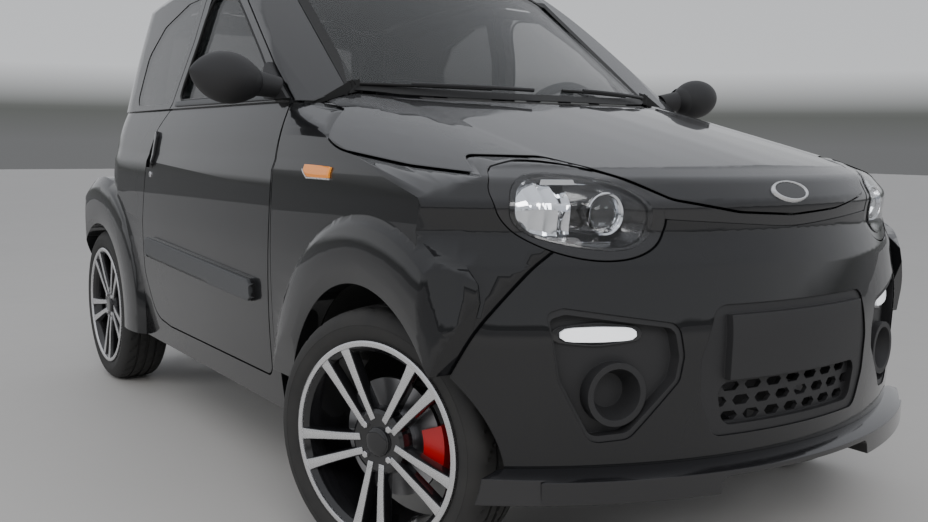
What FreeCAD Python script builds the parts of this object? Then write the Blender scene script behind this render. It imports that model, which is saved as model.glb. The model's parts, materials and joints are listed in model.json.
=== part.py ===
import FreeCAD, Part
import math
import os

# Two-door microcar, sizes in millimetres.
# +Z is up, the car faces -Y and its right side is -X.
# The origin is on the ground under the middle of the car.

Vec = FreeCAD.Vector
doc = FreeCAD.newDocument("Microcar")

# Driving dimensions: alias, value, what it is.
SIZES = [
    ("car_length", 2980, "front lip to rear bumper"),
    ("front_overhang", 585, "front lip to front axle"),
    ("rear_overhang", 340, "rear axle to rear bumper"),
    ("roof_height", 1540, "crown of the roof above the ground"),
    ("body_half_width", 724, "door skin at its widest"),
    ("flare_reach", 24, "wheel flares outside the door skin"),
    ("sill_bottom", 240, "underside of the sills"),
    ("belt_height", 1012, "lower edge of the side windows"),
    ("belt_half_width", 664, "body at the belt"),
    ("nose_radius", 1080, "front bumper seen from above"),
    ("nose_corner", 120, "front corners seen from above"),
    ("tail_radius", 4000, "rear bumper seen from above"),
    ("tail_corner", 560, "rear corners seen from above"),
    ("bumper_corner", 150, "corners of the rear bumper seen from above"),
    ("screen_angle", 34, "windscreen from the horizontal, degrees"),
    ("screen_base_y", -662, "windscreen foot in the middle"),
    ("screen_base_z", 1040, "height of that foot"),
    ("shut_gap", 5, "gap between outer panels"),
    ("seat_clearance", 0.3, "clearance of a piece at its seat"),
    ("lid_skin", 22, "hood thickness"),
    ("fender_skin", 26, "fender thickness"),
    ("bumper_skin", 30, "bumper thickness"),
    ("wall_lower", 78, "doors and side walls below the belt"),
    ("wall_upper", 42, "window frames and pillars"),
    ("roof_skin", 34, "roof thickness"),
    ("tailgate_skin", 45, "tailgate thickness"),
    ("glass_thickness", 5, "window glass"),
    ("tyre_radius", 285, "outer radius of the tyres"),
    ("tyre_width", 165, "tyre section"),
    ("rim_radius", 203, "bead seat radius of the rims"),
    ("rim_lip", 218, "outer radius of the rim flange"),
    ("wheel_centre_x", 650, "middle plane of the wheels"),
    ("kingpin_x", 600, "steering pivots from the middle"),
    ("steer_rest", 19.9, "front wheels turned to the left at rest, degrees"),
    ("front_arch", 335, "front wheel opening radius"),
    ("rear_arch", 312, "rear wheel opening radius"),
    ("arch_shift", 20, "front wheel openings lie ahead of the axle"),
    ("flare_outer", 488, "outer edge of the wheel flares"),
    ("liner_skin", 8, "wheel arch liner"),
    ("liner_inner_x", 395, "inner walls of the front wheel bays"),
    ("rear_liner_x", 540, "inner walls of the rear wheel bays"),
    ("door_axis_x", 703, "door hinge pins from the middle"),
    ("door_axis_y", -384, "door hinge pins along the car"),
    ("hinge_pin", 7, "radius of the hinge pins"),
    ("pin_clearance", 0.05, "radial clearance of a pin in its bore"),
    ("hood_axis_y", -484, "hood hinge pins along the car"),
    ("hood_axis_z", 1010, "hood hinge pins above the ground"),
    ("tailgate_axis_z", 1428, "tailgate hinge pins above the ground"),
    ("floor_top", 262, "cabin floor"),
    ("floor_skin", 32, "thickness of the floor"),
    ("load_floor", 430, "floor of the load space"),
    ("bulkhead_y", -545, "front face of the bulkhead"),
    ("bulkhead_skin", 15, "bulkhead thickness"),
    ("engine_width", 560, "engine and gearbox block"),
    ("engine_depth", 380, "engine and gearbox block"),
    ("engine_rise", 400, "engine and gearbox block"),
    ("seat_x", 310, "seat centres from the middle"),
    ("seat_width", 460, "seat cushion width"),
    ("seat_depth", 470, "seat cushion length"),
    ("cushion_thickness", 130, "seat cushion"),
    ("cushion_top", 560, "top of the cushions above the ground"),
    ("backrest_thickness", 110, "seat back"),
    ("backrest_rise", 560, "seat back height without its headrest"),
    ("backrest_lean", 18, "seat back from the vertical, degrees"),
    ("steering_radius", 172, "steering wheel to the middle of its rim"),
    ("steering_grip", 15, "radius of the steering wheel's rim"),
    ("column_lean", 24, "steering column from the horizontal, degrees"),
]

sheet = doc.addObject("Spreadsheet::Sheet", "Sizes")
for row, (alias, amount, note) in enumerate(SIZES, start=1):
    sheet.set("A%d" % row, alias)
    sheet.set("B%d" % row, str(amount))
    sheet.set("C%d" % row, note)
    sheet.setAlias("B%d" % row, alias)
doc.recompute()


def size(alias):
    """Read one driving dimension from the sheet."""
    return float(sheet.get(alias))


NOSE_Y = -size("car_length") / 2
TAIL_Y = size("car_length") / 2
FRONT_AXLE = NOSE_Y + size("front_overhang")
REAR_AXLE = TAIL_Y - size("rear_overhang")
ARCH_Y = FRONT_AXLE - size("arch_shift")
AXLE_Z = size("tyre_radius")
GAP = size("shut_gap")
SEAT = size("seat_clearance")
BELT = size("belt_height")


# Outlines of lines and arcs

def round_corners(corners):
    """Edges of a closed outline; corners are 3-D points, each with a radius."""
    count = len(corners)
    cuts = []
    for i, (point, radius) in enumerate(corners):
        before = corners[i - 1][0] - point
        after = corners[(i + 1) % count][0] - point
        if radius <= 0:
            cuts.append((point, None, point))
            continue
        half = before.getAngle(after) / 2
        reach = radius / math.tan(half)
        start = point + before.normalize() * reach
        end = point + after.normalize() * reach
        middle = (before + after).normalize()
        bow = point + middle * (radius / math.sin(half) - radius)
        cuts.append((start, bow, end))
    edges = []
    for i, (start, bow, end) in enumerate(cuts):
        if bow is not None:
            edges.append(Part.Arc(start, bow, end).toShape())
        following = cuts[(i + 1) % count][0]
        if end.distanceToPoint(following) > 1e-6:
            edges.append(Part.LineSegment(end, following).toShape())
    return edges


def outline_face(corners):
    return Part.Face(Part.Wire(round_corners(corners)))


def side_prism(outline, x_low, x_high):
    """Outline of (y, z, corner radius) seen from the side, run across the car."""
    face = outline_face([(Vec(x_low, y, z), radius) for y, z, radius in outline])
    return face.extrude(Vec(x_high - x_low, 0, 0))


def front_prism(outline, y_low, y_high):
    """Outline of (x, z, corner radius) seen from the front, run along the car."""
    face = outline_face([(Vec(x, y_low, z), radius) for x, z, radius in outline])
    return face.extrude(Vec(0, y_high - y_low, 0))


def plan_prism(outline, z_low, z_high):
    """Outline of (x, y, corner radius) seen from above, run upwards."""
    face = outline_face([(Vec(x, y, z_low), radius) for x, y, radius in outline])
    return face.extrude(Vec(0, 0, z_high - z_low))


def block(x_low, x_high, y_low, y_high, z_low, z_high):
    corner = Vec(x_low, y_low, z_low)
    return Part.makeBox(x_high - x_low, y_high - y_low, z_high - z_low, corner)


def cross_cylinder(radius, x_low, x_high, y, z):
    return Part.makeCylinder(radius, x_high - x_low, Vec(x_low, y, z), Vec(1, 0, 0))


def other_side(shape):
    return shape.mirror(Vec(0, 0, 0), Vec(1, 0, 0))


# The body's outer form: a lower hull and a greenhouse

WIDE = size("body_half_width")
BELT_WIDE = size("belt_half_width")
FAR = 900
NOSE_CENTRE = NOSE_Y + 30 + size("nose_radius")
HULL_SPLIT = -455
HOOD_RISE = 0.235
HOOD_AXIS_Y = -988


def mirrored_face(path, place):
    """Face from the right half of an outline; arcs are (through, end) pairs."""
    def flipped(point):
        return (-point[0], point[1])

    edges = []
    last = path[0]
    halves = []
    for step in path[1:]:
        if isinstance(step[0], tuple):
            halves.append((last, step[0], step[1]))
            last = step[1]
        else:
            halves.append((last, None, step))
            last = step
    for start, through, end in halves:
        if through is None:
            edges.append(Part.LineSegment(place(start), place(end)).toShape())
        else:
            edges.append(Part.Arc(place(start), place(through), place(end)).toShape())
    if abs(last[0]) > 1e-6:
        edges.append(Part.LineSegment(place(last), place(flipped(last))).toShape())
    for start, through, end in reversed(halves):
        start, end = flipped(end), flipped(start)
        if through is None:
            edges.append(Part.LineSegment(place(start), place(end)).toShape())
        else:
            edges.append(Part.Arc(place(start), place(flipped(through)), place(end)).toShape())
    if abs(path[0][0]) > 1e-6:
        edges.append(Part.LineSegment(place(flipped(path[0])), place(path[0])).toShape())
    return Part.Face(Part.Wire(edges))


def body_section(inset):
    """Right half of the cross section from sill to belt."""
    return [(WIDE - 26 - inset, 235),
            ((WIDE - inset, 500), (WIDE - 6 - inset, 842)),
            (WIDE - 15 - inset, 866),
            ((WIDE - 33 - inset, 945), (BELT_WIDE - inset, BELT)),
            (BELT_WIDE - 30 - inset, BELT + 90)]


def run_along(path, y_low, y_high):
    """Half section run along the car between two stations."""
    face = mirrored_face(path, lambda point: Vec(point[0], y_low, point[1]))
    return face.extrude(Vec(0, y_high - y_low, 0))


# Rear corners: the section is swept round upright axes and then across the tail.
SWEEP_X = WIDE - size("tail_corner")
SWEEP_Y = TAIL_Y - 2 - size("tail_corner")
SHELF = 676


def half_face(path, x_inner, place):
    """Face between half a section and an upright line inside it."""
    edges = []
    last = path[0]
    for step in path[1:]:
        if isinstance(step[0], tuple):
            edges.append(Part.Arc(place(last), place(step[0]), place(step[1])).toShape())
            last = step[1]
        else:
            edges.append(Part.LineSegment(place(last), place(step)).toShape())
            last = step
    top = (x_inner, last[1])
    bottom = (x_inner, path[0][1])
    for start, end in ((last, top), (top, bottom), (bottom, path[0])):
        edges.append(Part.LineSegment(place(start), place(end)).toShape())
    return Part.Face(Part.Wire(edges))


def swept_round(path, y_low):
    """Section run to the rear corners, round them and across the tail."""
    sides = run_along(path, y_low, SWEEP_Y)
    corner = half_face(path, SWEEP_X, lambda point: Vec(point[0], SWEEP_Y, point[1]))
    corner = corner.revolve(Vec(SWEEP_X, SWEEP_Y, 0), Vec(0, 0, 1), 90)
    tail = half_face(path, SWEEP_X, lambda point: Vec(
        -SWEEP_X, SWEEP_Y + point[0] - SWEEP_X, point[1]))
    tail = tail.extrude(Vec(2 * SWEEP_X, 0, 0))
    return sides.fuse([corner, other_side(corner), tail]).removeSplitter()


def nose_turned(inset):
    """Nose as a profile of (radius, height) turned about an upright axis."""
    bulge = size("nose_radius") - inset
    profile = [(0, 200, 0), (bulge - 16, 200, 0), (bulge - 6, 380, 300), (bulge, 560, 300),
               (bulge - 20, 680, 120), (bulge - 42, 744, 30), (bulge - 36, 800, 30),
               (bulge - 76, 846 - inset, 60), (bulge - 132, 868 - inset, 100),
               (700 - inset, 1060 - inset, 0), (0, 1060 - inset, 0)]
    corners = [(Vec(radius, NOSE_CENTRE, z), fillet) for radius, z, fillet in profile]
    face = outline_face(corners)
    return face.revolve(Vec(0, NOSE_CENTRE, 0), Vec(0, 0, 1), 360)


def hood_crown(inset):
    """Hood surface: a crowned section run along the car and rising rearwards."""
    low = -1700
    drop = (HOOD_AXIS_Y - low) * HOOD_RISE
    path = [(FAR, 0), (FAR, 600), (780 - inset, 762 - inset),
            ((752 - inset, 812 - inset), (704 - inset * 0.7, 851 - inset * 0.8)),
            ((590 - inset * 0.3, 897 - inset), (420, 925 - inset)),
            ((220, 943 - inset), (0, 951 - inset))]
    face = mirrored_face(path, lambda point: Vec(point[0], low, point[1] - drop))
    return face.extrude(Vec(0, 1700, 1700 * HOOD_RISE))


def nose_corners(inset):
    """Front corners seen from above, leaning back with the height."""
    wide = WIDE + 4 - inset
    nose = size("nose_radius") + 2 - inset
    corner = max(size("nose_corner") - inset, 30)
    z_low = 200
    lean = 0.154
    centre = NOSE_CENTRE + (z_low - 560) * lean
    corner_x = wide - corner
    corner_y = centre - math.sqrt((nose - corner) ** 2 - corner_x ** 2)
    towards = Vec(corner_x, corner_y - centre, 0).normalize()
    meet = (towards.x * nose, centre + towards.y * nose)
    outwards = (towards + Vec(1, 0, 0)).normalize()
    bow = (corner_x + outwards.x * corner, corner_y + outwards.y * corner)
    middle = Vec(0, -1, 0) + towards
    middle = middle.normalize()
    half = (middle.x * nose, centre + middle.y * nose)
    path = [(wide, 1700), (wide, corner_y), (bow, meet), (half, (0, centre - nose))]
    face = mirrored_face(path, lambda point: Vec(point[0], point[1], z_low))
    return face.extrude(Vec(0, 1100 * lean, 1100))


def bumper_corners(inset):
    """Corners of the rear bumper seen from above."""
    wide = WIDE + 4 - inset
    tail = size("tail_radius") + 3 - inset
    corner = max(size("bumper_corner") - inset, 30)
    centre = TAIL_Y - size("tail_radius")
    corner_x = wide - corner
    corner_y = centre + math.sqrt((tail - corner) ** 2 - corner_x ** 2)
    towards = Vec(corner_x, corner_y - centre, 0).normalize()
    meet = (towards.x * tail, centre + towards.y * tail)
    outwards = (towards + Vec(1, 0, 0)).normalize()
    bow = (corner_x + outwards.x * corner, corner_y + outwards.y * corner)
    half_turn = (Vec(0, 1, 0) + towards).normalize()
    half = (half_turn.x * tail, centre + half_turn.y * tail)
    path = [(wide, -1700), (wide, corner_y), (bow, meet), (half, (0, centre + tail))]
    face = mirrored_face(path, lambda point: Vec(point[0], point[1], 200))
    return face.extrude(Vec(0, 0, 1100))


def tail_turned(inset):
    """Rear face, gently bowed in height, turned about a far upright axis."""
    reach = size("tail_radius") - inset
    centre = TAIL_Y - size("tail_radius")
    arc = Part.Arc(Vec(0, centre + reach - 30, 200), Vec(0, centre + reach, 520),
                   Vec(0, centre + reach - 42, 1060)).toShape()
    inner = 800
    sides = [
        Part.LineSegment(Vec(0, centre + reach - 42, 1060), Vec(0, centre + inner, 1060)),
        Part.LineSegment(Vec(0, centre + inner, 1060), Vec(0, centre + inner, 200)),
        Part.LineSegment(Vec(0, centre + inner, 200), Vec(0, centre + reach - 30, 200)),
    ]
    face = Part.Face(Part.Wire([arc] + [line.toShape() for line in sides]))
    face.rotate(Vec(0, centre, 0), Vec(0, 0, 1), -30)
    return face.revolve(Vec(0, centre, 0), Vec(0, 0, 1), 60)


HULLS = {}


def front_hull(inset):
    """Body ahead of the doors, moved inwards by inset."""
    key = ("front", inset)
    if key not in HULLS:
        hull = run_along(body_section(inset), -1600, HULL_SPLIT)
        hull = hull.common(hood_crown(inset)).common(nose_turned(inset))
        HULLS[key] = hull.common(nose_corners(inset))
    return HULLS[key]


def rear_hull(inset):
    """Body behind that, up to the belt, moved inwards by inset."""
    key = ("rear", inset)
    if key not in HULLS:
        path = body_section(inset)
        shelf = SHELF - inset
        upper = swept_round(path, HULL_SPLIT).common(
            block(-FAR, FAR, HULL_SPLIT, 1600, 235, BELT))
        upper = upper.cut(block(-FAR, FAR, SWEEP_Y, 1600, 200, shelf))
        lower = run_along(path, SWEEP_Y, 1600).common(
            block(-FAR, FAR, SWEEP_Y, 1600, 235, shelf))
        lower = lower.common(bumper_corners(inset)).common(tail_turned(inset))
        HULLS[key] = upper.fuse(lower)
    return HULLS[key]


def lower_hull(inset):
    """Whole body below the belt and the hood, moved inwards by inset."""
    key = ("whole", inset)
    if key not in HULLS:
        HULLS[key] = front_hull(inset).fuse(rear_hull(inset)).removeSplitter()
    return HULLS[key]


ROOF = size("roof_height")
ROOF_PEAK_Y = 480
ROOF_FRONT_RADIUS = 2200
ROOF_REAR_RADIUS = 4800
SCREEN_ANGLE = math.radians(size("screen_angle"))


def window_section(inset):
    """Right half of the section through the side windows, run along the car."""
    lean = (BELT_WIDE - 574) / (ROOF - 170 - BELT)
    foot = BELT_WIDE + lean * 212 - inset
    return [(foot, BELT - 212),
            ((BELT_WIDE - lean * 60 + 7 - inset, BELT + 60), (574 - inset, ROOF - 170)),
            (504 - inset, ROOF + 60)]


def roof_section(inset):
    """Right half of the roof's section at its peak."""
    return [(680, BELT - 212), (680 - inset, ROOF - 330),
            (610 - inset * 0.9, ROOF - 200 - inset * 0.4),
            ((556 - inset * 0.7, ROOF - 128 - inset * 0.7), (470 - inset * 0.4, ROOF - 64 - inset)),
            ((240, ROOF - 15 - inset), (0, ROOF - inset))]


def greenhouse(inset):
    """Roof and side windows' body, between screen and rear face, moved inwards."""
    key = ("green", inset)
    if key in HULLS:
        return HULLS[key]
    sides = swept_round(window_section(inset), -900)
    face = mirrored_face(roof_section(inset), lambda point: Vec(point[0], ROOF_PEAK_Y, point[1]))
    ahead = face.revolve(Vec(0, ROOF_PEAK_Y, ROOF - ROOF_FRONT_RADIUS), Vec(1, 0, 0), 37)
    behind = face.revolve(Vec(0, ROOF_PEAK_Y, ROOF - ROOF_REAR_RADIUS), Vec(1, 0, 0), -14)
    ahead = ahead.common(behind_screen(inset)).common(sides)
    behind = behind.common(sides)
    HULLS[key] = ahead.fuse(behind).removeSplitter()
    return HULLS[key]


SCREEN_BOW = 1173


PILLAR_BOW = 3346
PILLAR_ANGLE = math.radians(36)
PILLAR_FOOT = Vec(0, -560, 1013)


def leaning_cylinder(foot, angle, radius, shift):
    """Cylinder whose top line rises to the rear from its foot."""
    axis = Vec(0, math.cos(angle), math.sin(angle))
    normal = Vec(0, math.sin(angle), -math.cos(angle))
    start = foot + normal * radius - axis * 900
    return Part.makeCylinder(radius - shift, 2600, start, axis)


def behind_screen(shift):
    """Everything behind the round screen and the flatter pillars beside it."""
    foot = Vec(0, size("screen_base_y"), size("screen_base_z"))
    screen = leaning_cylinder(foot, SCREEN_ANGLE, SCREEN_BOW, shift)
    return screen.fuse(leaning_cylinder(PILLAR_FOOT, PILLAR_ANGLE, PILLAR_BOW, shift))


OUTER_LOW = lower_hull(0)
ABOVE_BELT = block(-FAR, FAR, -900, 1700, BELT, 1700)
OUTER_TOP = greenhouse(0)


def low_skin(region, depth):
    """Outer skin of the lower body within a region, depth thick."""
    return OUTER_LOW.common(region).cut(lower_hull(depth))


def top_skin(region, depth):
    """Outer skin of the greenhouse above the belt within a region."""
    return OUTER_TOP.common(ABOVE_BELT).common(region).cut(greenhouse(depth))


# Cutting outlines

# Core between the side frames, seen from the front: screen, roof and rear glass.
CORE_FOOT = 529
CORE_TOP = 462


def core_prism(shift):
    outline = [(-CORE_FOOT - shift, BELT - 60, 0), (CORE_FOOT + shift, BELT - 60, 0),
               (CORE_TOP + shift, ROOF + 20, 0), (-CORE_TOP - shift, ROOF + 20, 0)]
    return front_prism(outline, -1000, 1600)


# Door seen from the side.
DOOR_OUTLINE = [
    (-402, 320, 30), (-424, 700, 0), (-434, BELT, 0), (-230, 1148, 40), (6, 1300, 60),
    (120, 1372, 60), (330, 1412, 30), (388, 1352, 20), (402, 1222, 60), (478, 1030, 30),
    (560, 950, 60), (602, 866, 60), (640, 640, 60), (640, 470, 90), (560, 330, 110),
    (420, 316, 60),
]
# Opening for the glass in the door.
DOOR_WINDOW = [
    (-336, BELT + 28, 20), (-196, 1136, 30), (28, 1280, 60), (132, 1342, 50),
    (312, 1372, 24), (344, 1346, 20), (358, 1222, 60), (432, BELT + 28, 20),
]
# Rear side window.
QUARTER_WINDOW = [
    (520, BELT + 18, 24), (452, 1225, 60), (436, 1364, 16), (560, 1358, 60),
    (760, 1300, 60), (868, 1206, 60), (884, BELT + 18, 40),
]


def rocked(outline, shift):
    """Outline moved outwards along its corners by an offset of its face."""
    face = outline_face([(Vec(0, y, z), radius) for y, z, radius in outline])
    wire = face.OuterWire.makeOffset2D(shift, 0, False, False, True)
    return Part.Face(wire)


def door_prism(shift):
    face = rocked(DOOR_OUTLINE, shift) if shift else outline_face(
        [(Vec(0, y, z), radius) for y, z, radius in DOOR_OUTLINE])
    return face.extrude(Vec(-FAR, 0, 0))


def window_prism(outline, shift):
    face = rocked(outline, shift) if shift else outline_face(
        [(Vec(0, y, z), radius) for y, z, radius in outline])
    return face.extrude(Vec(-FAR, 0, 0))


# Lower edge of the hood seen from the front.
HOOD_FRONT = [
    (-800, 846, 0), (-616, 846, 24), (-566, 890, 40), (-440, 888, 60), (-300, 810, 80),
    (-150, 784, 200), (0, 776, 0), (150, 784, 200), (300, 810, 80), (440, 888, 60),
    (566, 890, 40), (616, 846, 24), (800, 846, 0), (800, 1200, 0), (-800, 1200, 0),
]
# Side edge of the hood seen from the side.
HOOD_SIDE = [
    (-1600, 700, 0), (-1300, 700, 0), (-1262, 846, 0), (-1000, 868, 400), (-730, 904, 300),
    (-586, 990, 60), (-478, 1014, 0), (-440, 1200, 0), (-1600, 1200, 0),
]


def hood_region(shift):
    front = front_prism([(x, z + shift if z < 1100 else z, radius)
                         for x, z, radius in HOOD_FRONT], -1700, -300)
    side = side_prism([(y, z + shift if z < 1100 else z, radius)
                       for y, z, radius in HOOD_SIDE], -800, 800)
    screen = behind_screen(-14 - shift)
    return front.common(side).cut(screen)


# Headlamp with its dark surround, an ellipse seen from the front.
LAMP_X = 464
LAMP_Z = 786
LAMP_LONG = 150
LAMP_SHORT = 88
LAMP_TILT = 12


def lamp_prism(shift):
    """Right headlamp's outline run along the car."""
    ellipse = Part.Ellipse(Vec(0, 0, 0), LAMP_LONG + shift, LAMP_SHORT + shift)
    face = Part.Face(Part.Wire(ellipse.toShape()))
    face.rotate(Vec(0, 0, 0), Vec(1, 0, 0), 90)
    face.rotate(Vec(0, 0, 0), Vec(0, 1, 0), LAMP_TILT)
    face.translate(Vec(-LAMP_X, -1600, LAMP_Z))
    return face.extrude(Vec(0, 460, 0))


LAMPS_GROWN = lamp_prism(GAP * 0.6).fuse(other_side(lamp_prism(GAP * 0.6)))

# Top edge of the bumper seen from the front.
BUMPER_TOP = [
    (-900, 772, 0), (-310, 769, 100), (0, 748, 800), (310, 769, 100), (900, 772, 0),
    (900, 100, 0), (-900, 100, 0),
]
# Line where bumper and fender meet, seen from the side: Y at two heights.
SHUT_LOW = (-1150, 352)
SHUT_HIGH = (-1345, 865)


def ahead_of_shut(shift):
    slope = (SHUT_HIGH[0] - SHUT_LOW[0]) / (SHUT_HIGH[1] - SHUT_LOW[1])
    low = SHUT_LOW[0] + (100 - SHUT_LOW[1]) * slope - shift
    high = SHUT_LOW[0] + (1000 - SHUT_LOW[1]) * slope - shift
    return side_prism([(low, 100, 0), (high, 1000, 0), (-1700, 1000, 0), (-1700, 100, 0)],
                      -900, 900)


def arch_cylinder(radius, y, x_inner):
    right = cross_cylinder(radius, -FAR, -x_inner, y, AXLE_Z)
    return right.fuse(other_side(right))


FRONT_ARCHES = arch_cylinder(size("front_arch"), ARCH_Y, size("liner_inner_x"))
REAR_ARCHES = arch_cylinder(size("rear_arch"), REAR_AXLE, size("rear_liner_x"))

# Openings in the bumper seen from the front: grille and, on the right, the lamp pod.
GRILLE_OUTLINE = [
    (-228, 605, 34), (228, 605, 34), (262, 500, 60), (258, 420, 60), (226, 342, 34),
    (-226, 342, 34), (-258, 420, 60), (-262, 500, 60),
]
POD_OUTLINE = [
    (-550, 598, 16), (-520, 608, 16), (-310, 574, 30), (-297, 510, 40), (-304, 462, 30),
    (-398, 352, 30), (-470, 346, 30), (-530, 470, 80),
]

# Panels and pieces, each function gives one solid or a group of like solids


def make_hood():
    skin = low_skin(hood_region(0), size("lid_skin"))
    x_inner = 462
    x_outer = 482
    arm = [(-470, 996, 6), (-470, 1020, 6), (-498, 1020, 6), (-540, 1004, 20),
           (-640, 992, 0), (-640, 968, 0), (-520, 976, 20)]
    arms = side_prism(arm, -x_outer, -x_inner)
    arms = arms.common(lower_hull(2))
    bore = cross_cylinder(size("hinge_pin") - 2 + size("pin_clearance"), -x_outer - 1,
                          -x_inner + 1, size("hood_axis_y"), size("hood_axis_z"))
    arms = arms.cut(bore)
    return skin.fuse([arms, other_side(arms)])


def make_fender():
    """Right fender with its flare."""
    outline = [(-437, 354, 12), (-441, BELT - 6, 0), (-1450, BELT - 6, 0),
               (SHUT_HIGH[0], SHUT_HIGH[1], 0), (SHUT_LOW[0], SHUT_LOW[1], 0)]
    region = side_prism(outline, -FAR, -395)
    skin = low_skin(region, size("fender_skin"))
    flare = flare_ring(ARCH_Y, size("front_arch"), WIDE - 60).common(region)
    flare = flare.cut(lower_hull(size("fender_skin")))
    arch = cross_cylinder(size("front_arch"), -FAR, -size("liner_inner_x"), ARCH_Y, AXLE_Z)
    panel = skin.cut(arch).fuse(flare)
    hinge = block(-508, -300, -660, -440, 900, 1060)
    return panel.cut([hood_region(-GAP), lamp_prism(GAP * 0.6), hinge])


def flare_ring(y, arch, inner_x):
    """Right-hand bulge round a wheel opening, turned about the axle."""
    outer = size("flare_outer")
    swell = size("flare_reach")
    start = Vec(-inner_x, y, AXLE_Z + arch)
    lip = Vec(-(WIDE + swell - 4), y, AXLE_Z + arch)
    crest = Vec(-(WIDE + swell), y, AXLE_Z + (arch + outer) / 2 - 20)
    shoulder = Vec(-(WIDE + swell * 0.55), y, AXLE_Z + outer - 26)
    edge = Vec(-(WIDE - 6), y, AXLE_Z + outer)
    foot = Vec(-inner_x, y, AXLE_Z + outer)
    edges = [
        Part.LineSegment(start, lip).toShape(),
        Part.Arc(lip, crest, shoulder).toShape(),
        Part.LineSegment(shoulder, edge).toShape(),
        Part.LineSegment(edge, foot).toShape(),
        Part.LineSegment(foot, start).toShape(),
    ]
    ring = Part.Face(Part.Wire(edges)).revolve(Vec(0, y, AXLE_Z), Vec(1, 0, 0), 360)
    limit = block(-FAR, -400, y - 600, y + 600, size("sill_bottom") + 10, 900)
    if y > 0:
        limit = bumper_corners(-size("flare_reach") - 2).common(limit).common(tail_turned(0))
        return ring.common(limit)
    return ring.common(lower_hull(-size("flare_reach") - 2).common(limit))


def make_front_bumper():
    region = front_prism(BUMPER_TOP, -1700, -900).common(ahead_of_shut(GAP))
    region = region.cut(block(-900, 900, -1700, 0, 0, size("sill_bottom") + 60))
    skin = low_skin(region, size("bumper_skin"))
    grille = front_prism(GRILLE_OUTLINE, -1700, -900)
    pod = front_prism(POD_OUTLINE, -1700, -1100)
    return skin.cut([LAMPS_GROWN, FRONT_ARCHES, grille, pod, other_side(pod)])


def make_nose_band():
    """Dark band between the hood's lip and the bumper, lamp to lamp."""
    top = [(x, z - GAP, radius) for x, z, radius in HOOD_FRONT[:13]]
    outline = [point for point in top if abs(point[0]) < 580]
    bottom = [(310, 769 + SEAT, 100), (0, 748 + SEAT, 800), (-310, 769 + SEAT, 100)]
    outline = [(-560, 846, 0)] + outline[1:-1] + [(560, 846, 0)] + bottom
    region = front_prism(outline, -1700, -1150)
    region = region.cut(block(-900, 900, -1262, 0, 600, 1200))
    skin = lower_hull(3).common(region).cut(lower_hull(34))
    lamp = lamp_prism(SEAT)
    return skin.cut([lamp, other_side(lamp)])


def make_splitter():
    """Lip under the bumper: its face leans forwards down to the front edge."""
    z_low = size("sill_bottom")
    z_top = z_low + 60 - SEAT
    tip = size("nose_radius") + 30
    profile = [(700, z_low, 0), (tip, z_low, 0), (tip, z_low + 44, 0),
               (tip - 30, z_top, 0), (700, z_top, 0)]
    face = outline_face([(Vec(0, NOSE_CENTRE - radius, z), fillet)
                         for radius, z, fillet in profile])
    face.rotate(Vec(0, NOSE_CENTRE, 0), Vec(0, 0, 1), -60)
    lip = face.revolve(Vec(0, NOSE_CENTRE, 0), Vec(0, 0, 1), 120)
    lip = lip.common(nose_corners(14).fuse(block(-FAR, FAR, -1600, -1330, 200, 320)).common(
        block(14 - WIDE, WIDE - 14, -1600, -1190, 200, 320)))
    lip = lip.common(ahead_of_shut(-20))
    notch = front_prism([(-270, 100, 0), (-228, z_low + 34, 20), (228, z_low + 34, 20),
                         (270, 100, 0)], -1700, -900)
    return lip.cut([nose_corners(70), FRONT_ARCHES, notch])


def inset_body(outline, inset, depth, shift):
    """Part of the hull behind an outline seen from the front."""
    moved = outline_face([(Vec(x, -1700, z), radius) for x, z, radius in outline])
    wire = moved.OuterWire.makeOffset2D(-shift, 0, False, False, True)
    region = Part.Face(wire).extrude(Vec(0, 700, 0))
    return lower_hull(inset).common(region).cut(lower_hull(inset + depth))


def make_grille():
    """Frame, blank panel above and a mesh of linked cells below."""
    z_split = 450
    back = inset_body(GRILLE_OUTLINE, 4, 24, SEAT)
    panel = block(-204, 204, -1700, -1200, 458, 586)
    plate = lower_hull(-12).common(panel).cut(lower_hull(8))
    mesh_area = front_prism([(-222, z_split, 24), (222, z_split, 24), (202, 362, 30),
                             (-202, 362, 30)], -1700, -1200)
    frame = back.cut(mesh_area)
    recess = inset_body(GRILLE_OUTLINE, 18, 10, SEAT).common(mesh_area)
    cells = None
    cell_wide = 58
    cell_high = 26
    for level in range(3):
        stagger = cell_wide / 2 if level % 2 else 0
        z = 376 + level * 31
        for step in range(-4, 5):
            x = step * cell_wide + stagger
            if abs(x) > 210:
                continue
            half_wide = cell_wide / 2 - 7
            half_high = cell_high / 2 - 3
            hexagon = [(x - half_wide, z, 0), (x - half_wide * 0.6, z - half_high, 0),
                       (x + half_wide * 0.6, z - half_high, 0), (x + half_wide, z, 0),
                       (x + half_wide * 0.6, z + half_high, 0),
                       (x - half_wide * 0.6, z + half_high, 0)]
            hole = front_prism(hexagon, -1700, -1200)
            cells = hole if cells is None else cells.fuse(hole)
    return frame.fuse([plate, recess.cut(cells)])


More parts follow.
